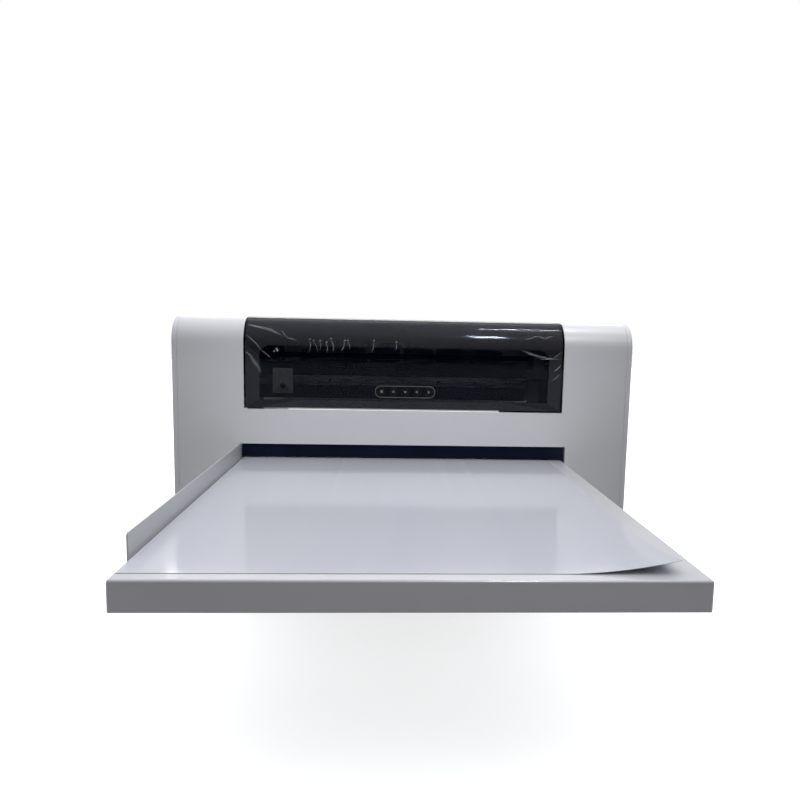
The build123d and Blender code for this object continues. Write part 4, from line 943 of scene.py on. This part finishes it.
def make_lid_creases():
    """The wrinkles of the peel-off film: fans at both top corners and short ones along the roll. Their pale
    colour is painted highlight on the pinched ones and painted reflection on the broad ones.
    """
    random.seed(11)
    left, right, roll = lid_low.x, lid_high.x, FLAT_RISE
    pinched, broad = bmesh.new(), bmesh.new()
    for (x0, v0), (x1, v1), width, height in (
        ((3, 12), (24, -9), 0.9, 0.6),
        ((24, -9), (37, -20), 0.6, 0.4),
        ((50, 20), (58, 9), 0.8, 0.5),
        ((58, 9), (72, 5), 0.7, 0.4),
        ((-4, -22), (-13, -31), 1.1, 0.8),
        ((-4, -3), (-15, -12), 0.7, 0.5),
        ((-15, -12), (-34, -14), 0.6, 0.3),
        ((-46, 15), (-38, 19), 1.0, 0.7),
        ((-38, 19), (-28, 14), 1.0, 0.7),
        ((-28, 14), (-17, 19), 0.9, 0.6),
        ((-54, 13), (-46, 15), 0.9, 0.7),
    ):
        edge = left if x0 > 0 else right
        start, end = (edge + x0 * MM, roll + v0 * MM), (edge + x1 * MM, roll + v1 * MM)
        crease(pinched, start, end, width * MM, height * MM)
    for across in (89, 94, 103, 112, 118, 137, 141, 177, 208):
        top = (left + across * MM, roll + random.uniform(3, 9) * MM)
        length, lean = random.uniform(8, 19) * MM, random.uniform(-0.35, 0.45)
        foot = (top[0] + length * math.sin(lean), top[1] - length * math.cos(lean))
        crease(pinched, top, foot, random.uniform(0.6, 1.0) * MM, random.uniform(0.45, 0.8) * MM, 0.12)
        crease(pinched, top, (top[0] + 2.4 * MM, top[1] + 1.5 * MM), 1.6 * MM, 1.0 * MM)
    for (x0, v0), (x1, v1), width in (
        ((3, 28), (52, 12), 5.0),
        ((2, -10), (24, -40), 6.0),
        ((-6, -14), (-60, -2), 4.0),
        ((-5, -34), (-16, -44), 3.0),
    ):
        edge = left if x0 > 0 else right
        start, end = (edge + x0 * MM, roll + v0 * MM), (edge + x1 * MM, roll + v1 * MM)
        crease(broad, start, end, width * MM, 0.25 * MM)
    # the pinched creases' near-white is painted highlight, the broad bands' faint grey painted reflection
    film_piece("pinched_film_creases", pinched, crease_film_with_painted_sheen("pinched_film_painted_highlight", 0.92, 0.74))
    film_piece("broad_film_creases", broad, crease_film_with_painted_sheen("broad_film_painted_reflection", 0.22, 0.30))


def mark_outline(kind):
    """A generic symbol for a key, as (x, z) outlines in millimetres."""
    arrow = [(-2.4, -1.2), (2.4, -1.2), (0, 2.4)]
    shapes = {
        "stop": [[(-2, -2), (2, -2), (2, 2), (-2, 2)]],
        "up": [arrow],
        "down": [[(x, -z) for x, z in reversed(arrow)]],
        "left": [[(-z, x) for x, z in arrow]],
        "right": [[(z, -x) for x, z in arrow]],
    }
    return shapes[kind]


def pill_ring(shape, centre, length, height, width, y, depth):
    """A flat pill-shaped ring that stands forward of y by its depth."""
    steps = 12
    outline = []
    for side in (1, -1):
        for i in range(steps + 1):
            angle = math.radians(-90 + 180 * i / steps)
            outline.append((side, side * math.cos(angle), side * math.sin(angle)))
    rows = []
    outer, inner = height / 2, height / 2 - width
    straight = length / 2 - outer
    for radius, lift in ((outer, 0), (outer, depth), (inner, depth), (inner, 0)):
        rows.append([
            shape.verts.new((centre.x + side * straight + c * radius, y - lift, centre.z + s * radius))
            for side, c, s in outline
        ])
    count = len(outline)
    for row, following in zip(rows, rows[1:] + rows[:1]):
        for i in range(count):
            j = (i + 1) % count
            shape.faces.new((row[i], row[j], following[j], following[i]))


def make_bezel_outline(finishes):
    """The thin pale line round the button strip, and a dark ring round each button's hole."""
    low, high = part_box("button_bezel")
    size, centre = high - low, (low + high) / 2
    shape = bmesh.new()
    inset = 0.9 * MM
    pill_ring(shape, centre, size.x - inset, size.z - inset, 0.75 * MM, low.y, 0.10 * MM)
    rim_faces = len(shape.faces)
    for number in range(1, 6):
        key_low, key_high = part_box(f"button_{number}")
        across = key_high.x - key_low.x + 1.9 * MM
        pill_ring(shape, (key_low + key_high) / 2, across, across, 0.35 * MM, low.y, 0.08 * MM)
    for number, face in enumerate(shape.faces):
        face.material_index = int(number >= rim_faces)
    bmesh.ops.remove_doubles(shape, verts=shape.verts, dist=1e-7)
    bmesh.ops.recalc_face_normals(shape, faces=shape.faces)
    mesh = bpy.data.meshes.new("bezel_outline")
    shape.to_mesh(mesh)
    shape.free()
    mesh.materials.append(finishes["mark"])
    mesh.materials.append(finishes["ring"])
    piece("bezel_outline", mesh, "lid", smooth=40)


def make_key_marks(finishes):
    for number, kind in enumerate(("stop", "up", "down", "left", "right"), 1):
        low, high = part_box(f"button_{number}")
        centre = (low + high) / 2
        shape = bmesh.new()
        for outline in mark_outline(kind):
            verts = [
                shape.verts.new((centre.x + x * MM, low.y + 0.30 * MM, centre.z + z * MM)) for x, z in outline
            ]
            face = shape.faces.new(verts)
            raised = bmesh.ops.extrude_face_region(shape, geom=[face])["geom"]
            top = [part for part in raised if isinstance(part, bmesh.types.BMVert)]
            bmesh.ops.translate(shape, vec=(0, -0.12 * MM, 0), verts=top)
        bmesh.ops.recalc_face_normals(shape, faces=shape.faces)
        mesh = bpy.data.meshes.new(f"key_mark_{number}")
        shape.to_mesh(mesh)
        shape.free()
        mesh.materials.append(finishes["mark"])
        piece(f"key_mark_{number}", mesh, f"key_{number}")


# ---- The whole --------------------------------------------------------------------------------
make_camera()
make_studio()
finishes = make_finishes()
paint_cad_nodes(finishes)
make_print_film(finishes)
make_lid_creases()
make_bezel_outline(finishes)
make_key_marks(finishes)
make_lead_screws(finishes)
make_belt_wheels(finishes)
make_belts(finishes)
make_fan(finishes)
make_repeats(finishes)
make_bottle_caps(finishes)
